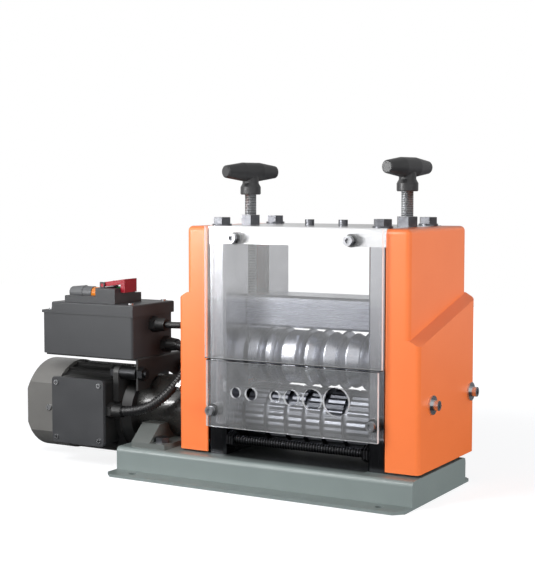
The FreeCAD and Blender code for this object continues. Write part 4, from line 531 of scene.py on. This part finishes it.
nodeFinish = {
    "base_tray": "grey", "left_side_plate": "plateSteel", "right_side_plate": "plateSteel",
    "top_plate": "topSteel", "top_bolts": "boltSteel", "top_cap_screws": "boltSteel",
    "front_tie_rod": "rodThread", "left_cover": "orange", "right_cover": "orange",
    "cover_standoffs": "zinc", "cover_washers": "zinc", "cover_screws": "zinc",
    "upper_guard": "acrylic", "lower_guard": "acrylic", "guard_spacers": "blackPlastic",
    "guard_screws": "screwSteel", "feed_roller": "feedSteel", "feed_gear": "darkSteel",
    "feed_bearings": "turned", "blade_shaft": "turned", "blade_gear": "darkSteel",
    "blade_discs": "turned", "blade_collars": "turned", "press_blocks": "beamSteel",
    "blade_bearings": "turned", "press_beam": "beamSteel", "clamp_nuts": "boltSteel",
    "left_clamp_screw": "clampThread", "right_clamp_screw": "clampThread",
    "left_handle": "handle", "right_handle": "handle", "motor_body": "blackPaint",
    "fan_cover": "fanGrey", "fan_cover_screws": "zinc", "end_shield": "blackPaint",
    "gear_housing": "castPaint", "gearhead_bolts": "zinc", "motor_foot": "footPaint",
    "foot_bolts": "boltSteel", "terminal_box": "blackPlastic", "terminal_lid": "boxPlastic",
    "box_screws": "zinc", "terminal_gland": "blackPlastic", "switch_bracket": "blackPaint",
    "bracket_spacers": "darkSteel", "bracket_bolts": "darkSteel", "switch_box": "boxPlastic",
    "switch_lid": "boxPlastic", "switch_housing": "boxPlastic", "switch_glands": "blackPlastic",
    "switch_paddle": "redPlastic", "stop_button": "redPlastic", "start_button": "greenPlastic",
    "switch_knob": "knobPlastic", "switch_lamp": "amberPlastic",
    "mains_plug": "blackPlastic",
}


def dressNodes():
    made = {word: maker(look) for word, (maker, look) in finishes.items()}
    for name, word in nodeFinish.items():
        piece = nodes[name]
        piece.data.materials.clear()
        piece.data.materials.append(made[word])


dressNodes()

print("small pieces")
screwCross = {"bar": 0.7, "reach": 3.6, "rise": 0.06, "deep": 0.3, "inset": 6.0,
              # the near-black bars are painted shade in the screws' cross recesses
              "finish": {"name": "recessShadeSteel", "dark": "#101011", "light": "#1c1c1d",
                         "roughness": 0.5, "grit": 0.3, "scratch": 1, "along": "x", "cloud": 2,
                         "bump": 0.1, "metal": 1.0}}


# Driver crosses in the heads of the terminal lid's screws, two near-black bars to a head as painted shade
# in the recesses
def makeScrewCrosses(look):
    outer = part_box("box_screws")[0].y
    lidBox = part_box("terminal_lid")
    inset = look["inset"] * mm
    places = [(x, z) for x in (lidBox[0].x + inset, lidBox[1].x - inset)
              for z in (lidBox[0].z + inset, lidBox[1].z - inset)]
    mesh = bmesh.new()
    long, short, deep = look["reach"] * mm, look["bar"] * mm, look["deep"] * mm
    middle = outer + deep / 2 - look["rise"] * mm
    for x, z in places:
        for wide, high in ((long, short), (short, long)):
            bar = bmesh.ops.create_cube(mesh, size=1.0)["verts"]
            bmesh.ops.scale(mesh, vec=(wide, deep, high), verts=bar)
            bmesh.ops.translate(mesh, vec=(x, middle, z), verts=bar)
    data = bpy.data.meshes.new("screwCrosses")
    mesh.to_mesh(data)
    mesh.free()
    data.materials.append(brushedSteel(look["finish"]))
    piece = bpy.data.objects.new("screwCrosses", data)
    scene.collection.objects.link(piece)
    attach(piece, "machine")


makeScrewCrosses(screwCross)

print("light")
lamps = {
    "keyLamp": {"place": (-1.2, -1.8, 0.6), "aim": (0, 0, 0.15), "size": (1.2, 0.9), "power": 36,
                "shine": False, "wash": True},
    "nearLamp": {"place": (-0.17, -0.42, 0.46), "aim": (-0.1, -0.05, 0.22), "size": (0.25, 0.25),
                 "power": 2.2, "shine": True, "wash": True},
    "rearLamp": {"place": (0.5, 1.8, 0.9), "aim": (0, 0, 0.12), "size": (1.4, 0.9), "power": 18,
                 "shine": False, "wash": True},
    "glareLamp": {"place": (-0.51, -0.61, 0.28), "aim": (-0.09, -0.06, 0.24), "size": (0.1, 0.1),
                  "power": 1.4, "shine": True, "wash": False},
    "fillLamp": {"place": (1.8, -0.6, 0.18), "aim": (0.1, 0, 0.1), "size": (1.2, 0.3), "power": 31,
                 "shine": False, "wash": True},
}


# The wall's reflection stands in for that of the large lamps, so they give no shine of their own; the
# glare lamp gives nothing but shine, on the left cover and the gearhead
def makeLamps(settings):
    for name, lamp in settings.items():
        data = bpy.data.lights.new(name, "AREA")
        data.shape = "RECTANGLE"
        data.size, data.size_y = lamp["size"]
        data.energy = lamp["power"]
        light = bpy.data.objects.new(name, data)
        light.location = lamp["place"]
        aim = Vector(lamp["aim"]) - Vector(lamp["place"])
        light.rotation_euler = aim.to_track_quat("-Z", "Y").to_euler()
        light.visible_glossy = lamp["shine"]
        light.visible_diffuse = lamp["wash"]
        scene.collection.objects.link(light)


# Heights and directions are parts of a unit vector that points out from the part
studio = {"light": "#8c8f94", "side": 0.4, "sideTop": 0.1, "above": 0.08, "aboveStart": 0.7,
          "table": "#8a8c93", "tableTop": -0.25, "wall": "#ffffff", "wallFoot": -0.15,
          "wallStrength": 1.0, "leftStrength": 1.7, "leftStart": -0.42, "leftFull": -0.54,
          "rear": 0.5, "rearSpread": 0.2}


# The world lights the part softly and is white behind it; its gloss is a white wall over a grey table
def makeWorld(look):
    world = bpy.data.worlds.new("paleStudio")
    world.use_nodes = True
    tree = world.node_tree
    tree.nodes.clear()
    path = addNode(tree, "ShaderNodeLightPath")
    where = addNode(tree, "ShaderNodeTexCoord")
    height = addNode(tree, "ShaderNodeSeparateXYZ", {}, {"Vector": where.outputs["Generated"]})
    rise = addNode(tree, "ShaderNodeMapRange", {"From Min": look["tableTop"], "From Max": look["wallFoot"]},
                   {"Value": height.outputs["Z"]})
    tone = addNode(tree, "ShaderNodeMix", {"data_type": "RGBA", 6: hexToLinear(look["table"]),
                                           7: hexToLinear(look["wall"])},
                   {0: rise.outputs["Result"]})
    dim = addNode(tree, "ShaderNodeMapRange", {"From Min": look["sideTop"],
                                               "From Max": look["aboveStart"],
                                               "To Min": look["side"], "To Max": look["above"]},
                  {"Value": height.outputs["Z"]})
    soft = addNode(tree, "ShaderNodeBackground", {"Color": hexToLinear(look["light"])},
                   {"Strength": dim.outputs["Result"]})
    left = addNode(tree, "ShaderNodeMapRange", {"From Min": look["leftStart"],
                                                "From Max": look["leftFull"],
                                                "To Min": look["wallStrength"],
                                                "To Max": look["leftStrength"]},
                   {"Value": height.outputs["X"]})
    rear = addNode(tree, "ShaderNodeMapRange", {"From Min": -look["rearSpread"],
                                                "From Max": look["rearSpread"],
                                                "To Min": 1.0, "To Max": look["rear"]},
                   {"Value": height.outputs["Y"]})
    wall = addNode(tree, "ShaderNodeMath", {"operation": "MULTIPLY"},
                   {0: left.outputs["Result"], 1: rear.outputs["Result"]})
    bright = addNode(tree, "ShaderNodeMapRange", {"To Min": 1.0},
                     {"Value": rise.outputs["Result"], "To Max": wall.outputs[0]})
    gloss = addNode(tree, "ShaderNodeBackground", {}, {"Color": tone.outputs[2],
                                                       "Strength": bright.outputs["Result"]})
    white = addNode(tree, "ShaderNodeBackground", {"Color": (1, 1, 1, 1), "Strength": 1.0})
    seen = addNode(tree, "ShaderNodeMath", {"operation": "MAXIMUM"},
                   {0: path.outputs["Is Camera Ray"], 1: path.outputs["Is Transmission Ray"]})
    first = addNode(tree, "ShaderNodeMixShader", {},
                    {0: path.outputs["Is Glossy Ray"], 1: soft.outputs[0], 2: gloss.outputs[0]})
    second = addNode(tree, "ShaderNodeMixShader", {},
                     {0: seen.outputs[0], 1: first.outputs[0], 2: white.outputs[0]})
    addNode(tree, "ShaderNodeOutputWorld", {}, {"Surface": second.outputs[0]})
    scene.world = world


floorLook = {"colour": "#9c9ea2", "glow": 0.82, "near": 0.45, "far": 1.3, "depth": 1.97, "width": 4.5,
             "shade": "#38393b", "table": "#c8c8ce", "shadeEnd": 0.32, "tableStart": 1.95}


# A pale floor: white to the camera but for a soft shadow; to glossy rays it glows as a painted reflection
# of a grey table, darker near the part as painted shade
def makeFloor(look):
    material, tree = newMaterial("palePaperFloor")
    path = addNode(tree, "ShaderNodeLightPath")
    where = addNode(tree, "ShaderNodeTexCoord")
    away = addNode(tree, "ShaderNodeVectorMath", {"operation": "LENGTH"},
                   {0: where.outputs["Object"]})
    lift = addNode(tree, "ShaderNodeMapRange", {"From Min": look["near"], "From Max": look["far"],
                                                "To Min": look["glow"], "To Max": 1.0},
                   {"Value": away.outputs["Value"]})
    depth = addNode(tree, "ShaderNodeSeparateXYZ", {}, {"Vector": where.outputs["Object"]})
    apart = addNode(tree, "ShaderNodeMath", {"operation": "ABSOLUTE"}, {0: depth.outputs["Y"]})
    ahead = addNode(tree, "ShaderNodeMapRange", {"From Min": look["shadeEnd"],
                                                 "From Max": look["tableStart"]},
                    {"Value": apart.outputs[0]})
    tone = addNode(tree, "ShaderNodeMix", {"data_type": "RGBA", 6: hexToLinear(look["shade"]),
                                           7: hexToLinear(look["table"])},
                   {0: ahead.outputs["Result"]})
    paper = addNode(tree, "ShaderNodeBsdfDiffuse", {"Color": hexToLinear(look["colour"])})
    glow = addNode(tree, "ShaderNodeEmission", {"Color": (1, 1, 1, 1)},
                   {"Strength": lift.outputs["Result"]})
    table = addNode(tree, "ShaderNodeEmission", {"Strength": 1.0}, {"Color": tone.outputs[2]})
    lit = addNode(tree, "ShaderNodeAddShader", {}, {0: paper.outputs[0], 1: glow.outputs[0]})
    first = addNode(tree, "ShaderNodeMixShader", {},
                    {0: path.outputs["Is Camera Ray"], 1: paper.outputs[0], 2: lit.outputs[0]})
    second = addNode(tree, "ShaderNodeMixShader", {},
                     {0: path.outputs["Is Glossy Ray"], 1: first.outputs[0], 2: table.outputs[0]})
    finishMaterial(tree, second)
    width, depth = look["width"], look["depth"]
    mesh = bpy.data.meshes.new("studioFloor")
    mesh.from_pydata([(-width, -depth, 0), (width, -depth, 0), (width, depth, 0), (-width, depth, 0)],
                     [], [(0, 1, 2, 3)])
    mesh.materials.append(material)
    floor = bpy.data.objects.new("studioFloor", mesh)
    scene.collection.objects.link(floor)


makeLamps(lamps)
makeWorld(studio)
makeFloor(floorLook)
